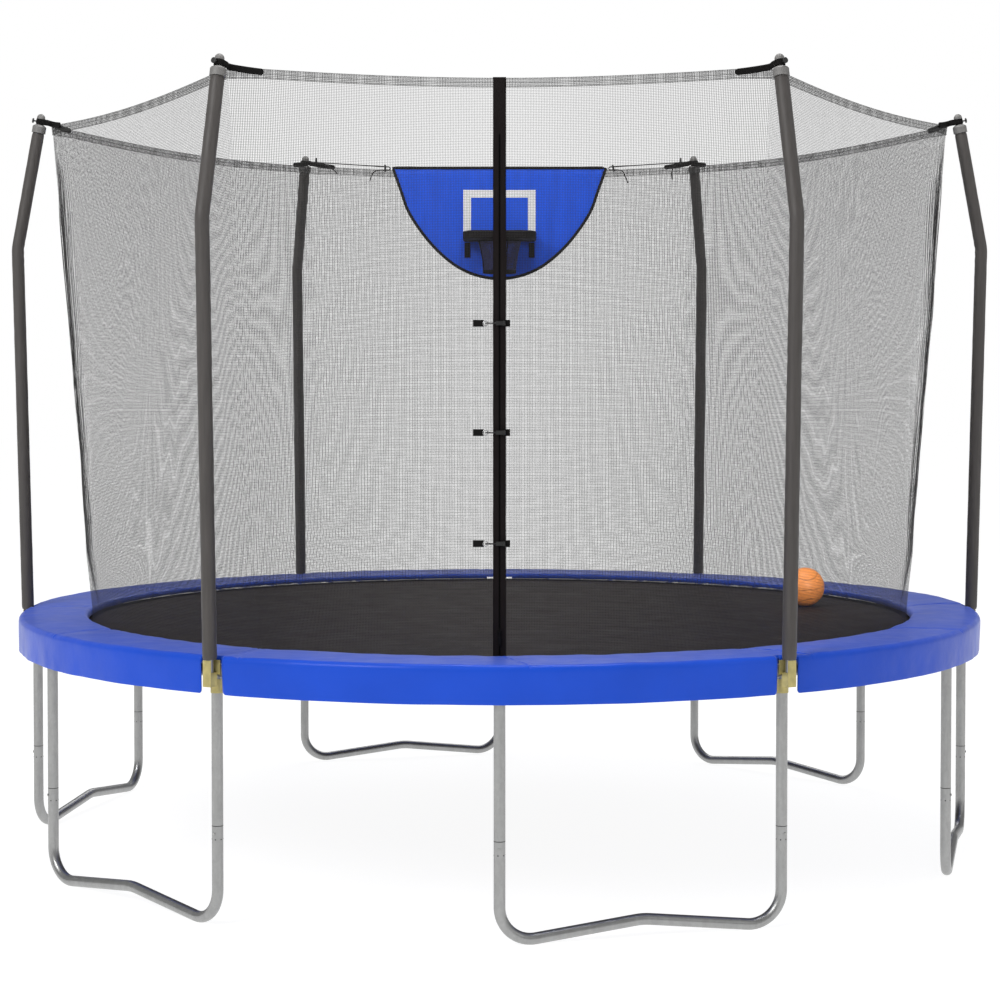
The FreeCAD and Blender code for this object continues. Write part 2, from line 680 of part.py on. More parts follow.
def rim_straps():
    """Two short webbing straps on the board under the rim's ends."""
    straps = []
    for side in (1, -1):
        low, high = sorted((side * 134, side * 161))
        straps.append(block((low, BOARD_FACE - 4.2, RIM_UNDER - 72),
                            (high, BOARD_FACE - 0.2, RIM_UNDER - 3)))
    return Part.makeCompound(straps)


def hoop_net():
    """The tapered net under the rim, open at both ends."""
    centre = V(0, RIM_BACK - HOOP_BACK, RIM_UNDER - 0.5)
    outer = Part.makeCone(HOOP_RADIUS, HOOP_NET_FOOT, HOOP_NET_TALL, centre, UP * -1)
    inner = Part.makeCone(HOOP_RADIUS - 2, HOOP_NET_FOOT - 2, HOOP_NET_TALL, centre, UP * -1)
    return outer.cut(inner)


# Cord routes. Each main cord runs from a pole's strap to the board's corner, turns back there
# round the corner loop, passes the cord lock and ends in a free tail.
CORD_TURN = 7.0
MAIN_LEFT = [(-878, 1521, 2770), (-508, 1487, 2744)]
MAIN_RIGHT = [(878, 1521, 2770), (508, 1487, 2744)]
TAIL_LEFT = [(-508, 1487, 2730), (-553, 1486, 2730), (-574, 1485, 2724), (-586, 1484, 2706),
             (-593, 1484, 2680)]
TAIL_RIGHT = [(508, 1487, 2730), (548, 1486, 2731), (568, 1485, 2722), (576, 1484, 2697),
              (588, 1484, 2671)]
POLE_TAIL_LEFT = [(-838, 1513.5, 2762.5), (-808, 1502, 2757), (-779, 1497, 2746),
                  (-757, 1495, 2730), (-742, 1494, 2712)]
POLE_TAIL_RIGHT = [(828, 1512.5, 2762), (806, 1503, 2757), (793, 1498, 2739),
                   (788, 1496, 2713), (791, 1495, 2688)]
LOCK_TALL = 32.0
LOCK_RADIUS = 4.8


def tail_radii(points):
    """The largest arc at each inner point: 0.45 of the shorter run over the half turn's tangent."""
    radii = []
    for before, corner, after in zip(points, points[1:], points[2:]):
        turn = pi - (before - corner).getAngle(after - corner)
        shorter = min((corner - before).Length, (after - corner).Length)
        radii.append(0.45 * shorter / tan(turn / 2))
    return radii


def report_cord(name, path, radii):
    """Prints a cord's length and its bend radii."""
    shown = ", ".join(f"{r:.0f}" for r in radii)
    print(f"{name}: {path.Length:.0f} mm long, bend radii {shown}")


def cord_tube(name, path, radii):
    """A cord's tube, with its volume compared with its section times its length."""
    tube = swept(path, CORD_RADIUS)
    expected = pi * CORD_RADIUS ** 2 * path.Length
    if abs(tube.Volume - expected) > 0.02 * expected:
        raise ValueError(f"{name} has the wrong volume")
    report_cord(name, path, radii)
    return tube


def main_cord(name, main, tail):
    """A taut cord with its turn at the board's corner and its free tail."""
    start, end = [V(*p) for p in main]
    back = [V(*p) for p in tail]
    side = 1 if end.x > 0 else -1
    turn = Part.Arc(end, V(end.x - side * CORD_TURN, end.y, (end.z + back[0].z) / 2), back[0])
    radii = tail_radii(back)
    edges = [Part.LineSegment(start, end).toShape(), turn.toShape()]
    edges += rounded_path(back, radii).OrderedEdges
    return cord_tube(name, Part.Wire(edges), [CORD_TURN] + radii)


def tail_cord(name, route):
    """A short free cord end that hangs from a cord lock."""
    points = [V(*p) for p in route]
    radii = tail_radii(points)
    return cord_tube(name, rounded_path(points, radii), radii)


def cord_lock(centre, lean):
    """A barrel cord lock with rounded ends."""
    barrel = Part.makeCylinder(LOCK_RADIUS, LOCK_TALL, V(0, 0, -LOCK_TALL / 2))
    barrel = barrel.makeFillet(2.0, [e for e in barrel.Edges
                                     if e.Curve.TypeId == "Part::GeomCircle"])
    barrel.rotate(V(0, 0, 0), V(0, 1, 0), lean)
    barrel.translate(V(*centre))
    return barrel


def cord_locks():
    """The four cord locks: one beside each board corner and one near each back pole."""
    return Part.makeCompound([
        cord_lock((-523, 1488, 2738), 0), cord_lock((521, 1488, 2738), -14),
        cord_lock((-842, 1517.7, 2773), 0), cord_lock((832, 1516.8, 2773), 0)])


def ball():
    """The small hollow basketball, lying on the mat."""
    centre = V(BALL_PLACE[0], BALL_PLACE[1], MAT_TOP + BALL_RADIUS + 0.2)
    return Part.makeSphere(BALL_RADIUS, centre).cut(Part.makeSphere(BALL_RADIUS - 3.0, centre))


# ---- write every sub-part -----------------------------------------------------------------
def main():
    os.makedirs(OUT, exist_ok=True)
    for i in range(SIDES):
        save(f"top_rail_{i + 1}", rail_segment(60.0 * i))
        save(f"leg_base_{i + 1}", leg_base(BASE_ANGLES[i]))
        save(f"pole_sleeve_{i + 1}", turned(pole_sleeve(), POLE_ANGLES[i]))
    save("leg_uprights", ring_of(leg_upright(), [LEG_STEP * i for i in range(12)]))
    save("leg_screws", leg_screws())
    save("pole_lower_tubes", ring_of(lower_pole_tube(), POLE_ANGLES))
    save("pole_upper_tubes", ring_of(upper_pole_tube(), POLE_ANGLES))
    save("pole_brackets", ring_of(pole_bracket(), POLE_ANGLES))
    bolts = [bracket_bolt(h) for h in BOLT_HEIGHTS]
    nuts = [bracket_nut(h) for h in BOLT_HEIGHTS]
    save("bracket_bolts", ring_of(Part.makeCompound(bolts + nuts), POLE_ANGLES))
    save("pole_caps", ring_of(pole_cap(), POLE_ANGLES))
    save("cap_bolts", ring_of(cap_bolt(), POLE_ANGLES))
    save("strap_yokes", ring_of(strap_yoke(), POLE_ANGLES))
    halves = [net_strip(-30.0, -0.05, RIBS_PER_SIDE // 2), net_strip(0.05, 30.0, RIBS_PER_SIDE // 2)]
    save("net_door_side", Part.makeCompound(halves))
    for i in range(1, SIDES):
        save(f"net_side_{i + 1}", net_strip(60.0 * i - 30.0, 60.0 * i + 30.0, RIBS_PER_SIDE))
    save("net_top_band", net_top_band())
    save("zip_tape", zip_tape())
    save("zip_teeth", zip_teeth())
    save("zip_slider", zip_slider())
    save("zip_pull", zip_pull())
    save("closure_patches", closure_patches())
    save("closure_rings", closure_rings())
    for i, height in enumerate(CLOSURE_HEIGHTS):
        save(f"closure_hook_{i + 1}", closure_hook(height))
    save("mat", mat())
    save("mat_hem", mat_hem())
    save("v_rings", ring_of(v_ring(), SPRING_ANGLES))
    save("springs", ring_of(spring(), SPRING_ANGLES))
    save("safety_pad", safety_pad())
    save("pad_skirt", pad_skirt())
    save("backboard", backboard())
    save("backboard_piping", backboard_piping())
    save("hoop_rim", hoop_rim())
    save("rim_straps", rim_straps())
    save("hoop_net", hoop_net())
    save("board_cord_left", main_cord("board_cord_left", MAIN_LEFT, TAIL_LEFT))
    save("board_cord_right", main_cord("board_cord_right", MAIN_RIGHT, TAIL_RIGHT))
    save("cord_tail_left", tail_cord("cord_tail_left", POLE_TAIL_LEFT))
    save("cord_tail_right", tail_cord("cord_tail_right", POLE_TAIL_RIGHT))
    save("cord_locks", cord_locks())
    save("ball", ball())


main()
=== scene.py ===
from math import cos, pi, radians, sin, sqrt, tan

import bmesh
import bpy
import numpy as np
from mathutils import Matrix, Vector, noise


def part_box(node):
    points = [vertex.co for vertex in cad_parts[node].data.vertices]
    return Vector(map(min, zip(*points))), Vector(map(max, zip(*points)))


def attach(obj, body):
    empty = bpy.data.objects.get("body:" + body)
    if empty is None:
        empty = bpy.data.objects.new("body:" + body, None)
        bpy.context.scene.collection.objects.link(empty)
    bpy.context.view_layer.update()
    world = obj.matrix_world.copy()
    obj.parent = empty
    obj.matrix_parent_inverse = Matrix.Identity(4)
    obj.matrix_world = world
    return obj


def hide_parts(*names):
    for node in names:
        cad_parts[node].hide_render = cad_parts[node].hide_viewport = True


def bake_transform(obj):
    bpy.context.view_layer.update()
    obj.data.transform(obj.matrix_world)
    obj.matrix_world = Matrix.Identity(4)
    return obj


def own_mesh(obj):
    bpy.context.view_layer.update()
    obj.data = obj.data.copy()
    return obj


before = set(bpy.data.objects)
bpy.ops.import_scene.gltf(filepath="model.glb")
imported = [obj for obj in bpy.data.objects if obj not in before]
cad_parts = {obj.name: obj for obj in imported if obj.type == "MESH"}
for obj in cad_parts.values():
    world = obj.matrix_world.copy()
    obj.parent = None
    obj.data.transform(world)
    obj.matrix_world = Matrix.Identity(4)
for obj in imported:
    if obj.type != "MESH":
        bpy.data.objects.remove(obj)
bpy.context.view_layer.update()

# Looks of the backyard trampoline. Shapes are worked out in millimetres, as in the part's
# source, and piece() writes them in metres. Clock angles start at the door (-Y) and grow
# towards +X.

MM = 0.001


def box_mm(node):
    """A CAD node's lowest and highest corner in millimetres."""
    low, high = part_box(node)
    return np.array(low) / MM, np.array(high) / MM


# ---- sizes --------------------------------------------------------------------------------
MAT_TOP = box_mm("mat")[1][2]
MAT_RADIUS = box_mm("mat")[1][0]
NET_TOP = box_mm("net_side_2")[1][2]
NET_CORNER = 1742.0
NET_FOOT_RADIUS = 1568.0
NET_FOOT = 857.0
PAD_TOP = box_mm("safety_pad")[1][2]
PAD_OUTER = 1843.0
PAD_INNER = 1578.0
PAD_UNDER = 851.5
SKIRT_FOOT = box_mm("pad_skirt")[0][2]
POLES = [30.0 + 60.0 * i for i in range(6)]
POLE_FOOT = (1846.0, 783.9)
POLE_BEND = (1880.0, 2275.0)
POLE_END = (1797.0, 2726.0)
POLE_BEND_RADIUS = 140.0
SLEEVE_RADIUS = 24.0
SLEEVE_BORE = 13.4
SLEEVE_FOOT = 868.0
BOARD_FACE = 1482.0
BOARD_TOP = 2739.0
BOARD_THICK = 12.0
BOARD_HALF = 487.0
BOARD_OUTLINE = [(BOARD_HALF, 0), (449, 108), (409, 212), (317, 341), (212, 437), (110, 488),
                 (0, 505)]
PIPING_RADIUS = 7.2
RIM_BACK = BOARD_FACE - 1.0
RIM_WIDE = 333.0
RIM_DEEP = 240.0
RIM_THICK = 40.0
RIM_UNDER = 2400.0
HOOP_RADIUS = 101.0
HOOP_BACK = 118.0
HOOP_NET_TALL = 150.0
HOOP_NET_FOOT = 76.0
BALL_RADIUS = 78.5


# ---- mesh helpers -------------------------------------------------------------------------
def clock(radius, angle, height):
    """The point at this radius, clock angle and height; arrays are welcome."""
    a = np.radians(angle)
    r, h = np.broadcast_arrays(radius, height)[0:2] if np.ndim(radius) or np.ndim(height) \
        else (radius, height)
    return np.stack(np.broadcast_arrays(r * np.sin(a), -r * np.cos(a), h + 0 * a), -1)


def turned(points, angle):
    """Points that were built on the +X side, turned to this clock angle."""
    a = radians(angle - 90.0)
    x, y, z = points[..., 0], points[..., 1], points[..., 2]
    return np.stack([x * cos(a) - y * sin(a), x * sin(a) + y * cos(a), z], -1)


def turned_part(part, angle):
    """A (points, faces, uv) part from the +X side, turned to this clock angle."""
    points, faces, uv = part
    return turned(points, angle), faces, uv


def lengths(points, axis):
    """Distances along a grid of points, from 0, in metres."""
    steps = np.linalg.norm(np.diff(points, axis=axis), axis=-1).mean(axis=1 - axis)
    return np.concatenate([[0.0], np.cumsum(steps)]) * MM


def skin(points, wrap=(False, False)):
    """Quads over a grid of points, with UVs in metres; wrap closes its rows or its columns."""
    rows, cols = points.shape[:2]
    i, j = np.meshgrid(np.arange(rows - (not wrap[0])), np.arange(cols - (not wrap[1])),
                       indexing="ij")
    corner = [(i, j), (i, j + 1), (i + 1, j + 1), (i + 1, j)]
    quads = np.stack([(a % rows) * cols + b % cols for a, b in corner], -1).reshape(-1, 4)
    padded = np.concatenate([points, points[:1]], 0)
    padded = np.concatenate([padded, padded[:, :1]], 1)
    along, across = lengths(padded, 0), lengths(padded, 1)
    uv = np.stack([np.stack([across[b], along[a]], -1) for a, b in corner], 2).reshape(-1, 2)
    return points.reshape(-1, 3), quads.tolist(), uv


def joined(parts):
    """Several (points, faces, uv) parts as one."""
    points, faces, uvs, start = [], [], [], 0
    for p, f, uv in parts:
        points.append(p)
        faces += [[k + start for k in face] for face in f]
        uvs.append(uv)
        start += len(p)
    return np.concatenate(points), faces, np.concatenate(uvs)


def slab(front, back, wrap=False):
    """A closed thin shell between two grids; wrap closes its columns."""
    rows, cols = front.shape[:2]
    points, faces, uv = skin(np.concatenate([front, back[::-1]], 0), (True, wrap))
    along, across = lengths(front, 0), lengths(front, 1)
    across = np.append(across, across[-1] + across[1])
    i = np.arange(2 * rows + 1) % (2 * rows)
    up = along[np.where(i < rows, i, 2 * rows - 1 - i)]
    c = cols if wrap else cols - 1
    a, b = np.meshgrid(np.arange(2 * rows), np.arange(c), indexing="ij")
    corner = [(a, b), (a, b + 1), (a + 1, b + 1), (a + 1, b)]
    uv = np.stack([np.stack([across[q], up[p]], -1) for p, q in corner], 2).reshape(-1, 2)
    if not wrap:
        for col in (0, cols - 1):
            for row in range(rows - 1):
                other = 2 * rows - 1 - row
                quad = [row * cols + col, (row + 1) * cols + col,
                        (other - 1) * cols + col, other * cols + col]
                faces.append(quad)
                end = [(across[col], along[row]), (across[col], along[row + 1])]
                uv = np.concatenate([uv, [end[0], end[1], end[1], end[0]]])
    return points, faces, uv


def frames(path):
    """Directions along a path and two crosswise ones, carried without twist."""
    ahead = np.gradient(path, axis=0)
    ahead /= np.linalg.norm(ahead, axis=1)[:, None]
    side = np.cross(ahead[0], (0, 0, 1) if abs(ahead[0][2]) < 0.9 else (0, 1, 0))
    sides = []
    for direction in ahead:
        side = side - direction * (side @ direction)
        side = side / np.linalg.norm(side)
        sides.append(side)
    sides = np.array(sides)
    return ahead, sides, np.cross(sides, ahead)


def sweep(path, section, scale=None, closed=False):
    """A solid with this section, (side, up) points, along a path; scale changes it on the way."""
    path = np.asarray(path, float)
    _, sides, ups = frames(path)
    section = np.asarray(section, float)
    if scale is None:
        scale = np.ones(len(path))
    grid = path[:, None] + (sides[:, None] * section[None, :, :1]
                            + ups[:, None] * section[None, :, 1:]) * scale[:, None, None]
    tube = skin(grid, (closed, True))
    return tube if closed else capped(tube, section[::-1] * MM, section * MM, True)


def round_section(radius, count):
    a = np.linspace(0, 2 * pi, count, endpoint=False)
    return np.stack([radius * np.cos(a), radius * np.sin(a)], -1)


def flat_section(wide, tall, count=20, power=0.35):
    """A rounded flat section, such as webbing has."""
    a = np.linspace(0, 2 * pi, count, endpoint=False) + pi / count
    c, s = np.cos(a), np.sin(a)
    return np.stack([wide / 2 * np.sign(c) * abs(c) ** power,
                     tall / 2 * np.sign(s) * abs(s) ** power], -1)


def smooth_path(points, count):
    """A smooth path through these points, evenly spaced."""
    p = np.asarray(points, float)
    p = np.concatenate([[2 * p[0] - p[1]], p, [2 * p[-1] - p[-2]]])
    out = []
    for k in range(1, len(p) - 2):
        for t in np.linspace(0, 1, 24, endpoint=False):
            a, b, c, d = p[k - 1:k + 3]
            out.append(0.5 * (2 * b + (c - a) * t + (2 * a - 5 * b + 4 * c - d) * t * t
                              + (3 * b - a - 3 * c + d) * t ** 3))
    out = np.array(out + [p[-2]])
    along = np.concatenate([[0], np.cumsum(np.linalg.norm(np.diff(out, axis=0), axis=1))])
    at = np.linspace(0, along[-1], count)
    return np.stack([np.interp(at, along, out[:, k]) for k in range(3)], -1)


def capped(part, first, last, flip=False):
    """Closes both ends of an open tube; first and last are its end sections as UVs."""
    points, faces, uv = part
    ring = list(range(len(first)))
    faces += [ring[::-1] if flip else ring, list(range(len(points) - len(last), len(points)))]
    return points, faces, np.concatenate([uv, first, last])


def linked(name, data):
    """A new object with this data, in the scene."""
    made = bpy.data.objects.new(name, data)
    bpy.context.scene.collection.objects.link(made)
    return made


def piece(name, parts, material, body="root", crease=35.0):
    """Makes a Blender piece from (points, faces, uv) in millimetres."""
    points, faces, uv = parts
    mesh = bpy.data.meshes.new(name)
    mesh.from_pydata((points * MM).tolist(), [], faces)
    layer = mesh.uv_layers.new(name="UVMap")
    layer.data.foreach_set("uv", uv.astype(np.float32).ravel())
    work = bmesh.new()
    work.from_mesh(mesh)
    bmesh.ops.recalc_face_normals(work, faces=work.faces)
    work.to_mesh(mesh)
    work.free()
    mesh.polygons.foreach_set("use_smooth", [True] * len(mesh.polygons))
    mesh.set_sharp_from_angle(angle=radians(crease))
    mesh.materials.append(material)
    made = linked(name, mesh)
    if body:
        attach(made, body)
    return made


def soft_noise(points, size, seed=0):
    """Smooth noise from -1 to 1 at each point, with features of about this size."""
    flat = points.reshape(-1, 3) / size + seed * 17.3
    return np.array([noise.noise(Vector(p)) for p in flat]).reshape(points.shape[:-1])


# ---- material helpers ---------------------------------------------------------------------
def start_material(name):
    made = bpy.data.materials.new(name)
    made.use_nodes = True
    tree = made.node_tree
    tree.nodes.clear()
    shader = tree.nodes.new("ShaderNodeBsdfPrincipled")
    out = tree.nodes.new("ShaderNodeOutputMaterial")
    tree.links.new(shader.outputs[0], out.inputs[0])
    return made, tree, shader


def node(tree, kind, options=None, **inputs):
    """Adds a shader node. Inputs are sockets or values; i0, i1, i2 are inputs by number."""
    made = tree.nodes.new("ShaderNode" + kind)
    for key, value in (options or {}).items():
        setattr(made, key, value)
    for key, value in inputs.items():
        by_number = key[0] == "i" and key[1:].isdigit()
        socket = made.inputs[int(key[1:]) if by_number else key.replace("_", " ")]
        if isinstance(value, bpy.types.NodeSocket):
            tree.links.new(value, socket)
        else:
            socket.default_value = value
    return made


def sets(shader, **values):
    """Sets a shader's inputs by name, with underscores for spaces."""
    for key, value in values.items():
        shader.inputs[key.replace("_", " ")].default_value = value


def maths(tree, operation, a, b=0.0):
    return node(tree, "Math", {"operation": operation}, i0=a, i1=b).outputs[0]


def mixed(tree, first, share, second):
    """This share of one pattern and the rest of another."""
    return maths(tree, "ADD", maths(tree, "MULTIPLY", first, share),
                 maths(tree, "MULTIPLY", second, 1 - share))


def ranged(tree, value, low, high, start, stop):
    """A value's range from low to high, turned into one from start to stop."""
    return node(tree, "MapRange", Value=value, From_Min=low, From_Max=high, To_Min=start,
                To_Max=stop).outputs[0]


def coords(tree, size, source="Object"):
    """Texture coordinates in features of this size, in millimetres."""
    place = node(tree, "TexCoord").outputs[source]
    sizes = size if isinstance(size, (tuple, list)) else (size, size, size)
    scale = tuple(1.0 / (s * MM) for s in sizes)
    return node(tree, "Mapping", Vector=place, Scale=scale).outputs[0]


def noise_of(tree, size, detail=3.0):
    return node(tree, "TexNoise", Vector=coords(tree, size), Scale=1.0,
                Detail=detail).outputs["Fac"]


def ripple(tree, socket):
    """A wave from -1 to 1 with one period to each unit of texture."""
    return maths(tree, "SINE", maths(tree, "MULTIPLY", socket, 2 * pi))


def weave_of(tree, pitch, source="UV"):
    """Height of a plain weave of this thread pitch."""
    place = node(tree, "SeparateXYZ", Vector=coords(tree, pitch, source))
    checks = maths(tree, "MULTIPLY", ripple(tree, place.outputs[0]),
                   ripple(tree, place.outputs[1]))
    return maths(tree, "ADD", maths(tree, "MULTIPLY", checks, 0.5), 0.5)


def ribs_of(tree, pitch, axis=0, source="UV"):
    """Height of ribs of this pitch along one texture axis."""
    place = node(tree, "SeparateXYZ", Vector=coords(tree, pitch, source))
    wave = ripple(tree, place.outputs[axis])
    return maths(tree, "ADD", maths(tree, "MULTIPLY", wave, 0.5), 0.5)


def shaded(tree, color, darker, factor):
    """A colour that goes down to a darker share of itself with the factor."""
    low = (*(c * darker for c in color), 1.0)
    ramp = node(tree, "ValToRGB", Fac=factor)
    ramp.color_ramp.elements[0].position = 0.3
    ramp.color_ramp.elements[0].color = low
    ramp.color_ramp.elements[1].position = 0.7
    ramp.color_ramp.elements[1].color = (*color, 1.0)
    return ramp.outputs[0]


def tint(tree, shader, color, darker, factor):
    """Gives a shader a base colour that varies."""
    tree.links.new(shaded(tree, color, darker, factor), shader.inputs["Base Color"])


def bumped(tree, shader, heights):
    """Chains bump nodes; heights are (height socket, depth in millimetres)."""
    normal = None
    for height, depth in heights:
        made = node(tree, "Bump", Height=height, Strength=1.0, Distance=depth * MM)
        if normal is not None:
            tree.links.new(normal, made.inputs["Normal"])
        normal = made.outputs[0]
    tree.links.new(normal, shader.inputs["Normal"])


def finish_of(tree, shader, low, high, size):
    """Roughness that varies between two values."""
    varied = ranged(tree, noise_of(tree, size, 4.0), 0.3, 0.7, low, high)
    tree.links.new(varied, shader.inputs["Roughness"])


def plain(name, color, rough, metal, darker, size, grain=0.6, grain_depth=0.05, specular=0.5):
    """A material with colour variation, fine grain and varied roughness."""
    made, tree, shader = start_material(name)
    tint(tree, shader, color, darker, noise_of(tree, size, 5.0))
    finish_of(tree, shader, *rough, size * 0.4)
    bumped(tree, shader, [(noise_of(tree, grain, 2.0), grain_depth)])
    sets(shader, Metallic=metal, Specular_IOR_Level=specular)
    return made


def cloth(name, color, pitch, rough=(0.6, 0.75), darker=0.8, depth=0.15, source="UV",
          fold_size=60.0, fold_depth=0.3, sheen=0.15, ribs=None, specular=0.5):
    """Woven fabric: a weave or ribs, a soft unevenness and a little sheen."""
    made, tree, shader = start_material(name)
    threads = ribs_of(tree, pitch, ribs, source) if ribs is not None \
        else weave_of(tree, pitch, source)
    patch = noise_of(tree, fold_size, 4.0)
    tint(tree, shader, color, darker, mixed(tree, threads, 0.35, patch))
    finish_of(tree, shader, *rough, fold_size)
    bumped(tree, shader, [(patch, fold_depth), (threads, depth)])
    sets(shader, Sheen_Weight=sheen, Sheen_Roughness=0.5, Specular_IOR_Level=specular)
    return made


def threads_mask(tree, period, thread, wander=1.2):
    """1 on the threads of a square mesh and 0 in its holes."""
    place = node(tree, "TexCoord").outputs["UV"]
    shift = node(tree, "TexNoise", Vector=place, Scale=9.0, Detail=1.0).outputs["Color"]
    shift = node(tree, "VectorMath", {"operation": "SCALE"}, i0=shift, Scale=wander * MM)
    place = node(tree, "VectorMath", {"operation": "ADD"}, i0=place, i1=shift.outputs[0])
    scaled = node(tree, "VectorMath", {"operation": "SCALE"}, i0=place.outputs[0],
                  Scale=1.0 / (period * MM))
    parts = node(tree, "SeparateXYZ", Vector=scaled.outputs[0])
    half = thread / period / 2
    masks = [ranged(tree, maths(tree, "PINGPONG", parts.outputs[axis], 0.5), half * 0.8,
                    half * 1.2, 1.0, 0.0) for axis in (0, 1)]
    return maths(tree, "MAXIMUM", *masks)


def mesh_cloth(name, color, period, thread, rough=0.6):
    """A see-through mesh of black threads."""
    made, tree, shader = start_material(name)
    mask = threads_mask(tree, period, thread)
    tree.links.new(mask, shader.inputs["Alpha"])
    tint(tree, shader, color, 0.6, noise_of(tree, 12.0))
    sets(shader, Roughness=rough)
    return made


# ---- materials ----------------------------------------------------------------------------
def tube_steel():
    """Galvanised tube: a mild spangle, faint streaks and grain."""
    made, tree, shader = start_material("galvanised_tube")
    spangle = node(tree, "TexVoronoi", Vector=coords(tree, (7.0, 7.0, 12.0)), Scale=1.0)
    cloud = noise_of(tree, (30.0, 30.0, 160.0), 5.0)
    tint(tree, shader, (0.385, 0.387, 0.383), 0.84,
         mixed(tree, spangle.outputs["Color"], 0.25, cloud))
    finish_of(tree, shader, 0.28, 0.42, (14.0, 14.0, 60.0))
    bumped(tree, shader, [(noise_of(tree, (1.2, 1.2, 9.0), 3.0), 0.03)])
    sets(shader, Metallic=0.85)
    return made


def pad_vinyl():
    """Blue vinyl over foam: fine leather grain, soft puckers and a satin gloss."""
    made, tree, shader = start_material("pad_vinyl")
    tint(tree, shader, (0.009, 0.074, 0.60), 0.88, noise_of(tree, 260.0, 4.0))
    finish_of(tree, shader, 0.34, 0.46, 90.0)
    grain = node(tree, "TexVoronoi", {"feature": "SMOOTH_F1"},
                 Vector=coords(tree, 1.6), Scale=1.0)
    bumped(tree, shader, [(noise_of(tree, 160.0, 2.0), 5.0), (noise_of(tree, 45.0), 1.2),
                          (grain.outputs["Distance"], 0.05)])
    sets(shader, Specular_IOR_Level=0.14, Coat_Weight=0.09, Coat_Roughness=0.16,
         Sheen_Weight=0.20, Sheen_Roughness=0.4)
    return made


def sleeve_cover():
    """Dark grey coated cloth pulled over foam."""
    made, tree, shader = start_material("sleeve_cover")
    threads = weave_of(tree, 1.4)
    streaks = noise_of(tree, (9.0, 9.0, 130.0), 4.0)
    tint(tree, shader, (0.064, 0.057, 0.053), 0.74, streaks)
    finish_of(tree, shader, 0.48, 0.62, 60.0)
    bumped(tree, shader, [(noise_of(tree, (14.0, 14.0, 40.0), 3.0), 0.8), (threads, 0.08)])
    sets(shader, Sheen_Weight=0.1)
    return made


def board_cloth():
    """The blue backboard fabric: a weave and soft creases that run down from the top edge; the
    colour darkens in the creases' hollows as painted shade.
    """
    made, tree, shader = start_material("board_cloth")
    creases = noise_of(tree, (38.0, 60.0, 260.0), 3.0)
    threads = weave_of(tree, 1.2, "Object")
    # Painted shade: the colour follows the crease heights and is darker in their hollows.
    tint(tree, shader, (0.006, 0.094, 0.76), 0.80, mixed(tree, creases, 0.8, threads))
    finish_of(tree, shader, 0.46, 0.58, 50.0)
    bumped(tree, shader, [(creases, 2.2), (threads, 0.1)])
    sets(shader, Specular_IOR_Level=0.3)
    return made


def net_band_cloth():
    """The folded hem of the net: denser mesh with three darker sewn lines."""
    made, tree, shader = start_material("net_band_cloth")
    mask = threads_mask(tree, 5.0, 0.85, 0.5)
    across = node(tree, "SeparateXYZ", Vector=coords(tree, 13.5, "UV")).outputs[1]
    wave = maths(tree, "PINGPONG", maths(tree, "SUBTRACT", across, 0.2), 0.5)
    line = ranged(tree, wave, 0.08, 0.22, 0.20, 0.0)
    tree.links.new(maths(tree, "MAXIMUM", mask, line), shader.inputs["Alpha"])
    tint(tree, shader, (0.05, 0.05, 0.048), 0.6, noise_of(tree, 9.0))
    sets(shader, Roughness=0.6)
    return made


def mat_cloth():
    """Woven black mat: crossed bands of a tight weave, a little dust and a dull shine."""
    made, tree, shader = start_material("mat_cloth")
    threads = weave_of(tree, 2.2, "Object")
    dust = noise_of(tree, 420.0, 6.0)
    tint(tree, shader, (0.0225, 0.0172, 0.0158), 0.74, mixed(tree, threads, 0.4, dust))
    finish_of(tree, shader, 0.62, 0.74, 120.0)
    bumped(tree, shader, [(threads, 0.22)])
    sets(shader, Specular_IOR_Level=0.12)
    return made


def ball_rubber():
    """Orange pebbled rubber with dark seams, which a mesh attribute marks."""
    made, tree, shader = start_material("ball_rubber")
    seam = node(tree, "Attribute", {"attribute_name": "seam"}).outputs["Fac"]
    orange = shaded(tree, (1.0, 0.34, 0.075), 0.9, noise_of(tree, 20.0))
    mix = node(tree, "Mix", {"data_type": "RGBA"}, i0=seam, i6=orange,
               i7=(0.16, 0.06, 0.03, 1.0))
    tree.links.new(mix.outputs[2], shader.inputs["Base Color"])
    pebbles = node(tree, "TexVoronoi", {"feature": "SMOOTH_F1"}, Vector=coords(tree, 2.4),
                   Scale=1.0)
    finish_of(tree, shader, 0.46, 0.58, 15.0)
    bumped(tree, shader, [(pebbles.outputs["Distance"], 0.25)])
    return made


STEEL = tube_steel()
PLATED = plain("plated_fastener", (0.42, 0.42, 0.41), (0.25, 0.4), 0.9, 0.8, 6.0, 0.5)
# Dark bolts; this dark colour is also the painted shade in the legs' joint grooves and dimples.
DARK_BOLT_AND_SHADE = plain("dark_bolt_and_painted_shade", (0.05, 0.05, 0.05), (0.3, 0.45), 0.6, 0.8, 6.0, 0.5)
ZINC = plain("zinc_bracket", (0.56, 0.48, 0.20), (0.32, 0.48), 0.55, 0.72, 24.0, 0.8)
SLEEVE = sleeve_cover()
CAP = plain("cap_plastic", (0.19, 0.185, 0.18), (0.5, 0.62), 0.0, 0.86, 14.0, 0.7, 0.08)
WEBBING = cloth("black_webbing", (0.005, 0.0045, 0.0042), 1.5, (0.7, 0.85), ribs=0, depth=0.3,
                sheen=0.0, specular=0.15)
NET = mesh_cloth("net_mesh", (0.024, 0.022, 0.022), 5.2, 0.67)
NET_BAND = net_band_cloth()
ZIP_TAPE = cloth("zip_tape_cloth", (0.008, 0.0052, 0.0052), 1.2, (0.7, 0.85), ribs=1, depth=0.2,
                 sheen=0.0, specular=0.15)
ZIP_TEETH = plain("zip_teeth_plastic", (0.001, 0.001, 0.001), (0.5, 0.6), 0.0, 0.8, 8.0,
                  specular=0.06)
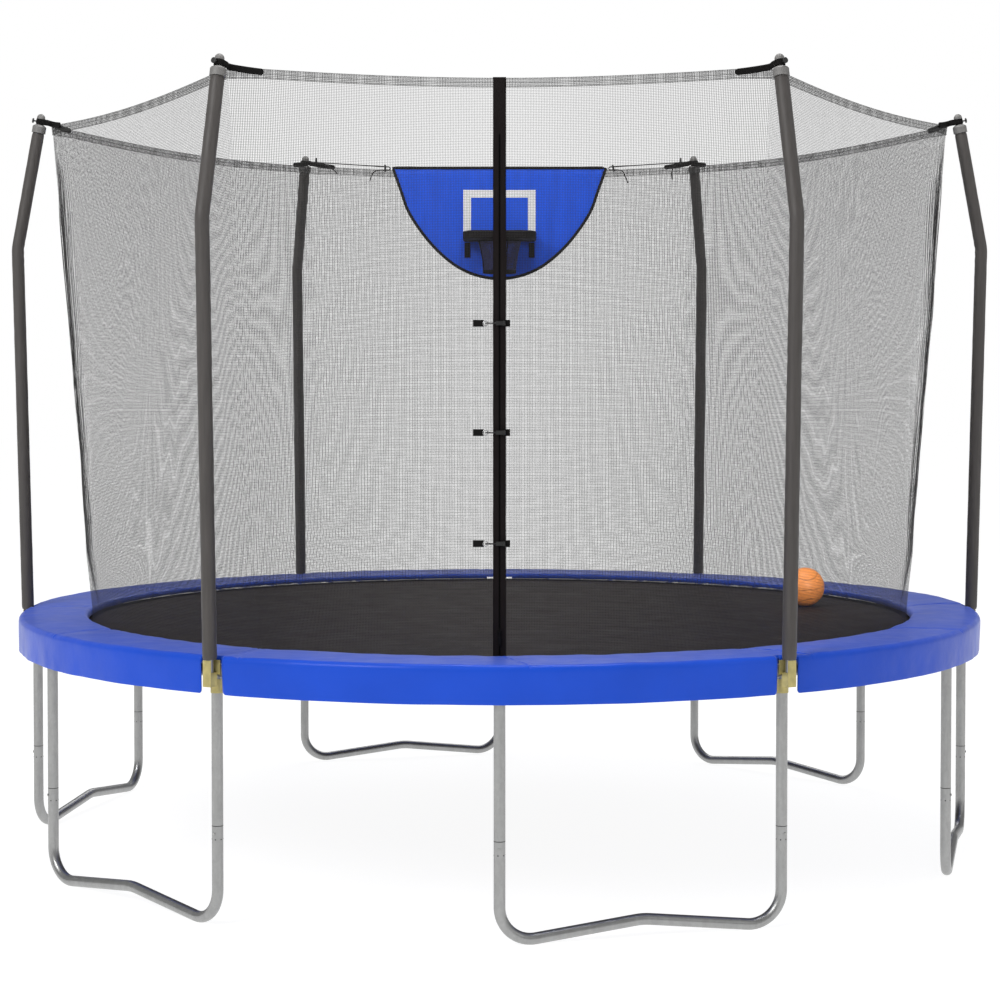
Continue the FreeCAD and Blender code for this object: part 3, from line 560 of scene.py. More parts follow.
CHROME = plain("zip_metal", (0.60, 0.60, 0.60), (0.12, 0.22), 1.0, 0.9, 6.0, 0.4, 0.01)
ZIP_BLACK = plain("zip_black", (0.004, 0.0035, 0.0035), (0.6, 0.7), 0.0, 0.8, 8.0, 0.5, 0.02,
                  specular=0.12)
HOOK = plain("hook_plastic", (0.012, 0.012, 0.012), (0.3, 0.42), 0.0, 0.8, 8.0, 0.5, 0.03)
MAT = mat_cloth()
MAT_HEM = cloth("mat_webbing", (0.016, 0.015, 0.0145), 1.6, (0.7, 0.82), ribs=0, depth=0.3,
                sheen=0.05, specular=0.25)
SPRING = plain("spring_steel", (0.62, 0.62, 0.61), (0.2, 0.32), 0.95, 0.85, 8.0, 0.4, 0.01)
PAD = pad_vinyl()
BOARD = board_cloth()
PIPE = cloth("board_piping_cloth", (0.004, 0.0035, 0.0035), 1.4, (0.65, 0.8), ribs=1, depth=0.2,
             sheen=0.03, specular=0.2)
TARGET = cloth("target_print", (0.83, 0.83, 0.83), 1.2, (0.6, 0.7), 0.94, 0.06, "Object")
FOAM = cloth("rim_foam_cover", (0.0052, 0.0036, 0.0038), 1.3, (0.6, 0.75), 0.7, 0.12, "Object",
             30.0, 0.5, 0.02, specular=0.18)
HOOP_MESH = mesh_cloth("hoop_mesh", (0.012, 0.014, 0.085), 5.0, 2.1, 0.7)
CORD = cloth("black_cord", (0.011, 0.010, 0.010), 1.5, (0.7, 0.85), 0.6, 0.25, "Generated",
             specular=0.25)
BALL = ball_rubber()
TAG = cloth("white_tag", (0.90, 0.90, 0.90), 1.0, (0.6, 0.7), 0.96, 0.05)
# Painted light: emission makes the cloth tag glow white, though it is no lamp.
sets(TAG.node_tree.nodes["Principled BSDF"], Emission_Color=(1, 1, 1, 1), Emission_Strength=0.55)


def dress(material, crease, *names):
    """Gives CAD nodes a better material and smooth shading up to a crease angle."""
    for name in names:
        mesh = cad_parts[name].data
        mesh.polygons.foreach_set("use_smooth", [True] * len(mesh.polygons))
        mesh.set_sharp_from_angle(angle=radians(crease))
        mesh.materials.clear()
        mesh.materials.append(material)


SIX = range(1, 7)
dress(STEEL, 30, *[f"top_rail_{i}" for i in SIX], *[f"leg_base_{i}" for i in SIX],
      "leg_uprights", "pole_lower_tubes", "pole_upper_tubes")
dress(PLATED, 30, "leg_screws", "bracket_bolts")
dress(DARK_BOLT_AND_SHADE, 30, "cap_bolts")
dress(ZINC, 20, "pole_brackets")
dress(CAP, 30, "pole_caps")
dress(WEBBING, 20, "closure_patches")
dress(CHROME, 30, "closure_rings")
dress(ZIP_BLACK, 30, "zip_slider", "zip_pull")
dress(HOOK, 30, "closure_hook_1", "closure_hook_2", "closure_hook_3")
dress(SPRING, 30, "v_rings")


LEG_CIRCLE = 1810.0
# Painted shade: a thin dark ring at each leg's rolled groove, and dark dots at its dimples.
GROOVE_SHADE_RING = [(18.2, 328.9), (18.75, 329.1), (18.75, 331.1), (18.2, 331.3)]
DIMPLE_SHADE_HEIGHT = 287.0


def painted_joint_shade():
    """Painted shade at each leg's joint: thin dark rings where the rolled groove is and dark dots
    at the punched dimples.
    """
    around = round_section(1.0, 36)
    parts = []
    for angle in np.arange(0, 360, 30.0):
        leg = clock(LEG_CIRCLE, angle, 0.0)
        rows = [np.concatenate([around * r, np.full((36, 1), z)], 1) for r, z in GROOVE_SHADE_RING]
        parts.append(skin(np.array(rows) + leg, (True, True)))
        for side in np.arange(15, 375, 60.0):
            out = np.array([cos(radians(side)), sin(radians(side)), 0.0])
            run = np.array([leg + out * r + [0, 0, DIMPLE_SHADE_HEIGHT] for r in (17.6, 18.2, 18.8)])
            parts.append(sweep(run, round_section(2.3, 10)))
    piece("leg_joint_marks", joined(parts), DARK_BOLT_AND_SHADE, crease=40)


painted_joint_shade()


# ---- camera -------------------------------------------------------------------------------
CAMERA_PLACE = (0.0, -8.55, 1.735)
CAMERA_DOWN = 1.5            # degrees below level
CAMERA_LENS = 78.7           # on a 36 mm sensor
CAMERA_SHIFT = (0.0005, -0.0553)


def camera():
    """The camera: in front of the door, a little above the middle of the object."""
    data = bpy.data.cameras.new("camera")
    data.sensor_width = 36.0
    data.lens = CAMERA_LENS
    data.shift_x, data.shift_y = CAMERA_SHIFT
    data.clip_end = 200.0
    made = linked("camera", data)
    made.location = CAMERA_PLACE
    made.rotation_euler = (radians(90.0 - CAMERA_DOWN), 0.0, 0.0)
    bpy.context.scene.camera = made


camera()


# ---- cords --------------------------------------------------------------------------------
CORD_WIDE = 5.0
CORD_ROUTES = {
    "board_cord_left": [(-878, 1521, 2770), (-522, 1488.3, 2745), (-501, 1487, 2744),
                        (-500, 1487, 2730), (-518, 1486.8, 2730), (-553, 1486, 2730),
                        (-574, 1485, 2724), (-586, 1484, 2706), (-593, 1484, 2680)],
    "board_cord_right": [(878, 1521, 2770), (522, 1488.3, 2745), (501, 1487, 2744),
                         (500, 1487, 2730), (516, 1486.8, 2730.2), (548, 1486, 2731),
                         (568, 1485, 2722), (576, 1484, 2697), (588, 1484, 2671)],
    "cord_tail_left": [(-838, 1513.5, 2762.5), (-808, 1502, 2757), (-779, 1497, 2746),
                       (-757, 1495, 2730), (-742, 1494, 2712)],
    "cord_tail_right": [(828, 1512.5, 2762), (806, 1503, 2757), (793, 1498, 2739),
                        (788, 1496, 2713), (791, 1495, 2688)],
}
LOCKS = {"board_cord_left": ((-523, 1488, 2738), 0.0),
         "board_cord_right": ((521, 1488, 2738), -14.0),
         "cord_tail_left": ((-842, 1517.7, 2773), 0.0),
         "cord_tail_right": ((832, 1516.8, 2773), 0.0)}


def cord_lock(name, centre, lean):
    """A barrel cord lock: a ribbed body with a sprung button on top."""
    profile = [(0.2, -16), (3.6, -16), (4.8, -14.6), (4.8, -11), (4.4, -10.4), (4.8, -9.8),
               (4.8, 3.4), (4.4, 4.0), (4.8, 4.6), (4.8, 8.2), (4.1, 8.8), (4.1, 14.4),
               (3.2, 15.8), (0.2, 16)]
    angles = np.linspace(0, 360, 24, endpoint=False)
    grid = clock(np.array([p[0] for p in profile])[:, None], angles[None, :],
                 np.array([p[1] for p in profile])[:, None])
    points, faces, uv = capped(skin(grid, (False, True)), grid[0, :, :2] * MM,
                               grid[-1, :, :2] * MM)
    tilt = Matrix.Rotation(radians(lean), 3, "Y")
    points = points @ np.array(tilt).T + np.array(centre, float)
    made = piece(name, (points, faces, uv), HOOK, crease=30)
    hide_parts("cord_locks")
    return made


def cord(name):
    """A thin black cord along its route, with its cord lock."""
    route = CORD_ROUTES[name]
    curve = bpy.data.curves.new(name + "_line", "CURVE")
    curve.dimensions = "3D"
    spline = curve.splines.new("NURBS")
    spline.points.add(len(route) - 1)
    for point, place in zip(spline.points, route):
        point.co = (place[0] * MM, place[1] * MM, place[2] * MM, 1.0)
    spline.order_u = 3
    spline.use_endpoint_u = True
    curve.resolution_u = 12
    curve.bevel_depth = CORD_WIDE / 2 * MM
    curve.bevel_resolution = 4
    curve.use_fill_caps = True
    curve.materials.append(CORD)
    made = linked(name + "_look", curve)
    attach(made, "root")
    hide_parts(name)
    place, lean = LOCKS[name]
    lock = cord_lock("lock_" + name, place, lean)


for cord_name in CORD_ROUTES:
    cord(cord_name)


# ---- net ----------------------------------------------------------------------------------
NET_THICK = 0.9
NET_BOTTOM = MAT_TOP + 1.5
NET_SIDE = NET_CORNER        # a hexagon's side is as long as its corners' radius
NET_SAG = 21.0
DOOR_SIDE = -30.0            # where the door's side starts
DOOR_SAG = 8.0               # how much more the door's top edge hangs
NET_RISE = 7.0               # how much the net's top is raised on average, more at the front
NET_BOW = [(900, 0), (1100, 20), (1600, 12), (2000, 8), (2500, 0)]   # height, outwards
BAND_TALL = 32.0
STRAP_REACH = 0.055          # share of a side at each end that the straps hold up
GATHERED = 0.045             # share of a side at each end that is gathered in pleats
PLEAT_WIDE = 13.0
PLEAT_DEEP, PLEAT_SHALLOW = 6.0, 1.2


def net_columns():
    """Shares across a side: close together at its ends, where the net is gathered."""
    end = np.linspace(0, GATHERED, 34)
    middle = np.linspace(GATHERED, 1 - GATHERED, 81)
    return np.concatenate([end[:-1], middle, 1 - end[::-1][1:]])


def net_surface(start, heights, offset):
    """A net side as a grid; heights are shares from the foot up, offset is outwards."""
    share = net_columns()
    columns = len(share)
    angle = start + 60.0 * share
    from_middle = np.radians((share - 0.5) * 60.0)
    near_end = np.minimum(share, 1 - share)
    radius_top = NET_CORNER * cos(pi / 6) / np.cos(from_middle)
    lift = np.clip((near_end - STRAP_REACH) / (0.5 - STRAP_REACH), 0, 1)
    sag = (NET_SAG + DOOR_SAG * (start == DOOR_SIDE)) * (1 - (1 - lift) ** 2)
    slope = (radius_top - NET_FOOT_RADIUS) / (NET_TOP - NET_FOOT)
    top = NET_TOP + NET_RISE + NET_RISE * np.cos(np.radians(angle)) - sag
    z = NET_BOTTOM + (top[None, :] - NET_BOTTOM) * heights[:, None]
    r = NET_FOOT_RADIUS + slope[None, :] * (z - NET_FOOT)
    bow = np.interp(z, *zip(*NET_BOW))
    r = r + bow * (1 - np.clip(near_end / 0.35, 0, 1) ** 2)[None, :]
    points = clock(r, np.broadcast_to(angle, z.shape), z)
    near_pole = np.exp(-near_end / 0.10)
    free = np.clip(heights * 5, 0, 1) * np.clip((1 - heights) * 7, 0, 1)
    stretched = points * np.array([1.0, 1.0, 0.16])
    folds = soft_noise(stretched, 42.0, 3) * (1.3 + 3.0 * near_pole[None, :])
    folds += soft_noise(points * np.array([1.0, 1.0, 0.4]), 330.0, 5) * 4.0
    gather = np.clip(1 - near_end / GATHERED, 0, 1)[None, :] ** 0.6
    drift = soft_noise(points * np.array([0.2, 0.2, 1.0]), 400.0, 8)
    corner = np.radians(start + 60.0 * (share > 0.5))
    at_side = abs(np.sin(corner)) > 0.99
    gather = gather * np.where(at_side, PLEAT_DEEP, PLEAT_SHALLOW)[None, :]
    pleats = near_end[None, :] * NET_SIDE * 2 * pi / PLEAT_WIDE
    folds += gather * np.sin(pleats + 2.5 * drift)
    keep_flat = np.ones(columns)
    if start in (DOOR_SIDE, DOOR_SIDE + 180.0):
        keep_flat = np.clip((abs(share - 0.5) - 0.03) / 0.1, 0, 1)
    out = offset + folds * free[:, None] * keep_flat[None, :]
    outward = clock(np.ones_like(z), np.broadcast_to(angle, z.shape), np.zeros_like(z))
    return points + outward * out[..., None]


def follow_mat(made):
    """Unparents a hanging piece and bakes its placement into its mesh."""
    made.parent = None
    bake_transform(made)


def net_sides():
    """Six sides of see-through net, each with its hem band along the top edge."""
    tall = NET_TOP - NET_BOTTOM
    heights = np.linspace(0, 1, 62)
    band_from = 1 - BAND_TALL / tall
    band_heights = np.linspace(band_from, 0.9998, 5)
    for i in range(6):
        start = DOOR_SIDE + 60.0 * i
        name = "net_door_side" if i == 0 else f"net_side_{i + 1}"
        outer = net_surface(start, heights, NET_THICK)
        inner = net_surface(start, heights, 0.0)
        side = piece(name + "_look", slab(outer, inner), NET, body=None,
                     crease=60)
        band = slab(net_surface(start, band_heights, 3.4),
                    net_surface(start, band_heights, 2.4))
        hem = piece(f"net_hem_{i + 1}", band, NET_BAND, crease=60)
        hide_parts(name)
        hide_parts("net_top_band")
        follow_mat(side)


net_sides()


# ---- door ---------------------------------------------------------------------------------
DOOR_TOP = np.array([0.0, -NET_CORNER * cos(pi / 6), NET_TOP])
DOOR_FOOT = np.array([0.0, -NET_FOOT_RADIUS, NET_FOOT])
DOOR_UP = (DOOR_TOP - DOOR_FOOT) / np.linalg.norm(DOOR_TOP - DOOR_FOOT)
DOOR_OUT = np.array([0.0, -DOOR_UP[2], DOOR_UP[1]])
BAND_SKIN = 3.8
TAPE_THICK = 1.5
ZIP_FACE = BAND_SKIN + TAPE_THICK
ZIP_TOP = 2550.0
TAPE_HALF = 21.0
TAPE_DROP = 13.5             # the tapes end this far under the net's top
TOOTH_PITCH = 3.4


def door_point(across, height, out):
    """A point on the sloping door: across to +X, at this height, out from the net."""
    along = (height - DOOR_FOOT[2]) / DOOR_UP[2]
    return DOOR_FOOT + DOOR_UP * along + np.array([across, 0, 0]) + DOOR_OUT * out


def door_grid(lefts, rights, heights, out):
    """A grid on the door between left and right edges at each height."""
    rows = []
    for left, right, height in zip(lefts, rights, heights):
        rows.append([door_point(left + (right - left) * k / 4, height, out) for k in range(5)])
    return np.array(rows)


def zip_strip():
    """Two ribbed tapes with a raised flap line, and the closed chain of teeth between them."""
    heights = np.linspace(NET_BOTTOM + 1, NET_TOP - TAPE_DROP, 120)
    wobble = np.array([noise.noise(Vector((0, 0, h / 90.0))) for h in heights]) * 0.5
    parts = []
    for side in (-1, 1):
        inner = np.where(heights < ZIP_TOP, 1.7, 0.02) * side
        edge = TAPE_HALF * side + wobble
        front = door_grid(inner, edge, heights, ZIP_FACE)
        back = door_grid(inner, edge, heights, BAND_SKIN)
        front[:, 2] += DOOR_OUT * 0.5
        parts.append(slab(front, back))
        hem = door_grid(edge - side * 3.2, edge, heights, ZIP_FACE + 0.9)
        parts.append(slab(hem, door_grid(edge - side * 3.2, edge, heights, ZIP_FACE - 0.1)))
    tape = piece("zip_tape_look", joined(parts), ZIP_TAPE, body=None)
    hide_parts("zip_tape")
    follow_mat(tape)
    tooth = np.array([(-2.6, -0.9), (0.5, -0.9), (2.4, -0.5), (2.4, 0.5), (0.5, 0.9),
                      (-2.6, 0.9)])
    parts = []
    for k in range(int((ZIP_TOP - NET_BOTTOM - 14) / TOOTH_PITCH)):
        flip = 1 if k % 2 else -1
        height = NET_BOTTOM + 12 + k * TOOTH_PITCH
        low = [door_point(a * flip, height + b, ZIP_FACE + 0.1) for a, b in tooth]
        high = [p + DOOR_OUT * 1.6 for p in low]
        parts.append(capped(skin(np.array([low, high]), (False, True)), tooth * MM,
                            tooth * MM))
    wide = np.full(len(heights), 4.5)
    parts.append(slab(door_grid(-wide, wide, heights, BAND_SKIN + 0.5),
                      door_grid(-wide, wide, heights, BAND_SKIN - 0.6)))
    teeth = piece("zip_teeth_look", joined(parts), ZIP_TEETH, body=None)
    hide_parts("zip_teeth")
    follow_mat(teeth)


zip_strip()


# ---- pole sleeves, straps -----------------------------------------------------------------
def pole_line(low, high, count):
    """The pole's bent axis on the +X side between two heights."""
    foot, bend, end = [np.array([p[0], 0.0, p[1]]) for p in (POLE_FOOT, POLE_BEND, POLE_END)]
    back = (foot - bend) / np.linalg.norm(foot - bend)
    ahead = (end - bend) / np.linalg.norm(end - bend)
    turn = pi - np.arccos(back @ ahead)
    trim = POLE_BEND_RADIUS * tan(turn / 2)
    centre = bend + (back + ahead) / np.linalg.norm(back + ahead) * POLE_BEND_RADIUS \
        / cos(turn / 2)
    start, stop = bend + back * trim, bend + ahead * trim
    a, b = start - centre, stop - centre
    arc = [centre + (a * sin((1 - t) * turn) + b * sin(t * turn)) / sin(turn)
           for t in np.linspace(0, 1, 16)]
    whole = np.array([foot] + arc + [end])
    at = np.linspace(low, high, count)
    return np.stack([np.interp(at, whole[:, 2], whole[:, k]) for k in (0, 1)] + [at], -1)


POLE_AXIS = np.array([POLE_END[0] - POLE_BEND[0], 0.0, POLE_END[1] - POLE_BEND[1]])
POLE_AXIS /= np.linalg.norm(POLE_AXIS)


def sleeves():
    """Foam sleeves with a cloth cover: small wrinkles, a sewn seam and gathered ends."""
    rows, around = 230, 36
    line = pole_line(SLEEVE_FOOT + 0.5, POLE_END[1] - 0.5, rows)
    _, sides, ups = frames(line)
    turn = np.linspace(0, 2 * pi, around, endpoint=False)
    height = line[:, 2]
    end = np.minimum(height - height[0], height[-1] - height)
    for k, angle in enumerate(POLES):
        ring = sides[:, None] * np.cos(turn)[None, :, None] \
            + ups[:, None] * np.sin(turn)[None, :, None]
        radius = SLEEVE_RADIUS - 0.6 - 2.2 * np.exp(-end / 4.0)[:, None] + 0 * turn[None, :]
        place = line[:, None] + ring * SLEEVE_RADIUS
        radius = radius + soft_noise(place * [1, 1, 0.55] + k * 900, 26.0, k) * 0.55
        bend = np.exp(-((height - POLE_BEND[1]) / 55.0) ** 2)[:, None]
        inside = np.clip(-ring[..., 0], 0, 1)
        radius += np.sin(height / 5.2)[:, None] * bend * inside * 0.7
        seam = np.exp(-((np.cos(turn - 0.6) - 1) / 0.006) ** 2)[None, :]
        radius += 0.9 * seam
        radius = np.minimum(radius, SLEEVE_RADIUS + 0.5)
        outer = line[:, None] + ring * radius[..., None]
        inner = line[:, None] + ring * SLEEVE_BORE
        made = piece(f"sleeve_{k + 1}", slab(turned(outer, angle), turned(inner, angle), True),
                     SLEEVE, crease=40)
        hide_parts(f"pole_sleeve_{k + 1}")


sleeves()


def ring_path(centre, axis_up, radius, count):
    """A closed circle round a tilted pole axis."""
    side = np.array([0.0, 1.0, 0.0])
    front = np.cross(side, axis_up)
    a = np.linspace(0, 2 * pi, count, endpoint=False)
    return centre + radius * (np.cos(a)[:, None] * front + np.sin(a)[:, None] * side)


def ribbon(path, wide, thick, up, taper=None):
    """A flat strap on edge along a path: wide is its height, up its crosswise direction."""
    path = np.asarray(path, float)
    section = flat_section(thick, wide)
    ahead = np.gradient(path, axis=0)
    ahead /= np.linalg.norm(ahead, axis=1)[:, None]
    side = np.cross(ahead, up)
    side /= np.linalg.norm(side, axis=1)[:, None]
    tall = np.cross(side, ahead)
    scale = np.ones(len(path)) if taper is None else taper
    grid = path[:, None] + side[:, None] * section[None, :, :1] * np.sqrt(scale)[:, None, None] \
        + tall[:, None] * section[None, :, 1:] * scale[:, None, None]
    return capped(skin(grid, (False, True)), section * MM, section * MM, True)


STRAP_WIDE, STRAP_THICK = 21.0, 7.0
STRAP_ON_NET = 116.0         # how far each strap runs along the net's top
CAP_LOOP_ABOVE = 44.5        # the loop's height on the cap, along the pole from its end
CAP_LOOP_RADIUS = 14.7


def strap_yokes():
    """The padded straps from the caps to the net's corners, with their loops."""
    hold = np.array([POLE_END[0], 0.0, POLE_END[1]]) + POLE_AXIS * CAP_LOOP_ABOVE
    parts = []
    for angle in POLES:
        for side in (1, -1):
            along = np.array([-0.5, side * sqrt(3) / 2, 0.0])
            outward = np.array([sqrt(3) / 2, side * 0.5, 0.0])
            corner = np.array([NET_CORNER, 0, NET_TOP + 3.0]) + outward * 8.8
            tip = corner + along * STRAP_ON_NET - np.array([0, 0, 1.5])
            route = smooth_path([hold + [0, side * 14.2, 0], (1763, side * 10.5, 2766.0),
                                 corner + along * 8 + [0, 0, 15.0],
                                 corner + along * 60 + [0, 0, 6.0], tip], 44)
            left = np.linalg.norm(route - route[-1], axis=1)
            taper = np.sqrt(np.clip(1 - (1 - np.clip(left / 9.0, 0, 1)) ** 2, 0.06, 1))
            strap = ribbon(route, STRAP_WIDE, STRAP_THICK, (0, 0, 1), taper)
            parts.append(turned_part(strap, angle))
        section = flat_section(4.6, 20.0)
        loop = []
        for point in ring_path(hold, POLE_AXIS, CAP_LOOP_RADIUS, 32):
            out = (point - hold) / np.linalg.norm(point - hold)
            loop.append(point + out * section[:, :1] + POLE_AXIS * section[:, 1:])
        parts.append(turned_part(skin(np.array(loop), (True, True)), angle))
    made = piece("net_straps", joined(parts), WEBBING, crease=50)
    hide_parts("strap_yokes")


strap_yokes()


# ---- mat and springs ----------------------------------------------------------------------
MAT_THICK = 3.0
SPRINGS = 72
SPRING_HEIGHT = 836.0
SPRING_WIRE = 1.45
SPRING_ANGLES = [360.0 / SPRINGS * (i + 0.5) for i in range(SPRINGS)]


def mat_surface(height, seed):
    """The mat's round sheet as rings about a pinhole in its middle."""
    radii = np.concatenate([[0.5], np.linspace(40, MAT_RADIUS - 1, 60)])
    angles = np.linspace(0, 360, 180, endpoint=False)
    points = clock(radii[:, None], angles[None, :], np.zeros((len(radii), 180)))
    fade = 1 - (radii / MAT_RADIUS)[:, None] ** 6
    points[..., 2] = height + soft_noise(points, 520.0, seed) * 0.9 * fade - 0.9 * fade
    return points


STITCH_CIRCLES = (1595.0, 1601.0, 1620.0)
STITCHES = 720


def mat():
    """The jumping mat, its doubled webbing hem and the stitching on it."""
    top, under = mat_surface(MAT_TOP, 1), mat_surface(MAT_TOP - MAT_THICK, 1)
    cloth_sheet = piece("mat_look", slab(top, under, True), MAT, "mat", 50)
    low = MAT_TOP - MAT_THICK
    angles = np.linspace(0, 360, 432, endpoint=False)
    wave = soft_noise(clock(np.full(432, 1608.0), angles, 0 * angles), 38.0, 4)
    profile = [(1590, low - 0.6), (1591, low - 1.9), (1600, low - 2.2), (1624, low - 2.2),
               (1629.6, low - 1.2), (1629.6, MAT_TOP + 1.2), (1624, MAT_TOP + 2.1),
               (1600, MAT_TOP + 2.1), (1591, MAT_TOP + 1.8), (1590, MAT_TOP + 0.5)]
    profile = np.array(profile, float)
    grid = clock(profile[:, 0][:, None] + wave[None, :] * 0.8, angles[None, :],
                 profile[:, 1][:, None] + wave[None, :] * 0.25)
    hem = piece("mat_hem_look", skin(grid, (True, True)), MAT_HEM, "mat", 40)
    parts = []
    for radius in STITCH_CIRCLES:
        for k in range(STITCHES):
            a = 360.0 / STITCHES * k
            run = clock(np.full(3, radius), np.array([a, a + 0.15, a + 0.3]),
                        np.array([MAT_TOP + 1.7, MAT_TOP + 2.45, MAT_TOP + 1.7]))
            parts.append(sweep(run, round_section(0.5, 4)))
    seams = piece("mat_stitching", joined(parts), MAT_HEM, "mat")
    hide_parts("mat")
    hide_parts("mat_hem")


mat()


def spring_line():
    """The wire of one spring on the +X side: a hook, the close coil and a hook."""
    coil, turns, per_turn = 9.4, 34, 9
    start, stop = 1668.0, 1774.0
    t = np.linspace(0, turns, turns * per_turn + 1)
    helix = np.stack([start + (stop - start) * t / turns, coil * np.sin(2 * pi * t),
                      SPRING_HEIGHT + coil * np.cos(2 * pi * t)], -1)
    a = np.radians(np.linspace(200, -10, 8))
    inner = np.stack([1658.6 + 5.2 * np.cos(a), 0 * a, SPRING_HEIGHT + 5.2 * np.sin(a)], -1)
    first = np.array([[1665.4, 0.6, SPRING_HEIGHT + 1.5], [1667.0, 0.3, SPRING_HEIGHT + 5.5]])
    b = np.radians(np.linspace(190, 355, 7))
    outer = np.stack([1784.0 + 5.0 * np.cos(b), 0 * b, SPRING_HEIGHT + 5.0 * np.sin(b)], -1)
    last = np.array([[1775.2, -0.6, SPRING_HEIGHT + 6.0], [1776.8, -0.3, SPRING_HEIGHT + 2.5]])
    return np.concatenate([inner, first, helix, last, outer])


def springs():
    """The coil springs, each hooked from the mat's edge out to the rail, baked in place."""
    coil = sweep(spring_line(), round_section(SPRING_WIRE, 5))
    parts = [turned_part(coil, angle) for angle in SPRING_ANGLES]
    made = piece("spring_coils", joined(parts), SPRING, body=None)
    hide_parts("springs")
    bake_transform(made)
    place = np.zeros(len(made.data.vertices) * 3, np.float32)
    made.data.vertices.foreach_get("co", place)


springs()


# ---- safety pad ---------------------------------------------------------------------------
SLOT_HALF = 41.0
SLOT_INNER = 1819.0
BACK_THINNER = 8.5           # how much lower the pad's top is at the back
BACK_DROOP = 3.5             # how far its inner lip hangs there; the mat can rise 5


def pad_profile():
    """Closed (radius, height) outline of the pad with its skirt, from the inner lower edge."""
    under, top = PAD_UNDER, PAD_TOP
    inner = [(PAD_INNER + 4, under + 1), (PAD_INNER + 1, under + 5), (PAD_INNER + 0.5, under + 13),
             (PAD_INNER + 2.5, under + 21), (PAD_INNER + 7, under + 26.5)]
    span = np.linspace(PAD_INNER + 14, PAD_OUTER - 22, 24)
    crown = [(r, top - 4.6 + 4.4 * sin(pi * (r - PAD_INNER) / (PAD_OUTER - PAD_INNER)) ** 0.7)
             for r in span]
    edge = [(PAD_OUTER - 15, top - 2.8), (PAD_OUTER - 9.5, top - 5.4),
            (PAD_OUTER - 5.2, top - 9.4), (PAD_OUTER - 2.6, top - 14.5)]
    outside = [(PAD_OUTER - 1.6, z) for z in np.linspace(top - 21, SKIRT_FOOT + 3, 14)]
    foot = [(PAD_OUTER - 1.9, SKIRT_FOOT + 0.8), (PAD_OUTER - 3.2, SKIRT_FOOT + 0.4),
            (PAD_OUTER - 4.2, SKIRT_FOOT + 1.6)]
    inside = [(PAD_OUTER - 4.2, z) for z in np.linspace(SKIRT_FOOT + 12, under - 4, 8)]
    below = [(r, under + 0.6) for r in np.linspace(PAD_OUTER - 8, PAD_INNER + 12, 12)]
    return np.array(inner + crown + edge + outside + foot + inside + below, float)


def pad_section(pole):
    """One section of the pad, from one pole to the next, with two sewn seams across its top."""
    angles = np.concatenate([pole + np.linspace(-0.6, 0.9, 31), np.linspace(1.05, 29, 100) + pole,
                             pole + np.linspace(29.2, 30.8, 33),
                             np.linspace(31.0, 59.4, 100) + pole])
    past = angles - pole
    follow = np.interp(past, [-0.6, 0.1, 3, 15, 18, 27, 33, 50], [0, 1, 1, 0, 0, 1, 1, 0])
    profile = pad_profile()
    r = np.broadcast_to(profile[:, 0][:, None], (len(profile), len(angles))).copy()
    z = np.broadcast_to(profile[:, 1][:, None], r.shape).copy()
    share = np.clip((r - PAD_INNER) / (PAD_OUTER - PAD_INNER), 0, 1)
    turn = angles[None, :] + 3.0 * share * follow[None, :]
    points = clock(r, turn, z)
    on_top = np.clip((z - PAD_UNDER - 6) / 20, 0, 1)
    skirt = np.clip((PAD_UNDER - z) / (PAD_UNDER - SKIRT_FOOT), 0, 1)
    wave = soft_noise(points * [1, 1, 0.3], 210.0, 7)
    small = soft_noise(points * [1, 1, 0.5], 62.0, 11)
    tiny = soft_noise(points * [1, 1, 0.6], 24.0, 17)
    gap = np.min([abs(past - 0.1), abs(past - 60.1), abs(past - 30.0)], axis=0)
    near = np.exp(-gap / 2.2)[None, :]
    groove = np.exp(-(gap / 0.09) ** 2)[None, :]
    hem = np.exp(-(abs(gap - 0.55) / 0.13) ** 2)[None, :]
    z += on_top * (wave * 1.8 + small * 0.6 + (small + tiny) * near * 1.4 - 1.6 * near - 1.2
                   - 2.6 * groove - 0.7 * hem)
    inner_edge = np.clip(1 - share * 5, 0, 1) * (z > PAD_UNDER - 1)
    r += inner_edge * (5.0 + 5.0 * soft_noise(points * [1, 1, 0], 150.0, 13)
                       + 2.5 * soft_noise(points * [1, 1, 0], 45.0, 23))
    z += np.clip(1 - share * 3, 0, 1) * on_top * (
        2.6 * soft_noise(points * [1, 1, 0], 70.0, 29) - 1.2)
    towards_back = -np.cos(np.radians(turn))
    thin = np.clip(1.5 * towards_back - 0.3, 0, 1) * on_top
    droop = np.clip((towards_back - 0.82) / 0.14, 0, 1) * np.clip(1 - share / 0.06, 0, 1)
    z -= np.maximum(BACK_THINNER * thin, BACK_DROOP * droop * (1 - skirt))
    r += skirt * (4.2 * wave + 2.4 * small - 3.2) - np.clip(z - PAD_TOP + 40, 0, 40) / 40 \
        * (share > 0.95) * 0.8 * (1 + small)
    z -= np.clip(skirt - 0.8, 0, 1) * 5 * (-1.2 + 1.1 * soft_noise(points * [1, 1, 0], 170.0, 2))
    return piece(f"pad_section_{int(pole // 60) + 1}", slab_loop(clock(r, turn, z)), PAD,
                 crease=48)


def slab_loop(grid):
    """A closed solid from a grid whose rows close on themselves, with flat ends."""
    points, faces, uv = skin(grid, (True, False))
    rows, cols = grid.shape[:2]
    for col in (0, cols - 1):
        ring = [row * cols + col for row in range(rows)]
        faces.append(ring)
        uv = np.concatenate([uv, grid[:, col, 1:] * MM])
    return points, faces, uv


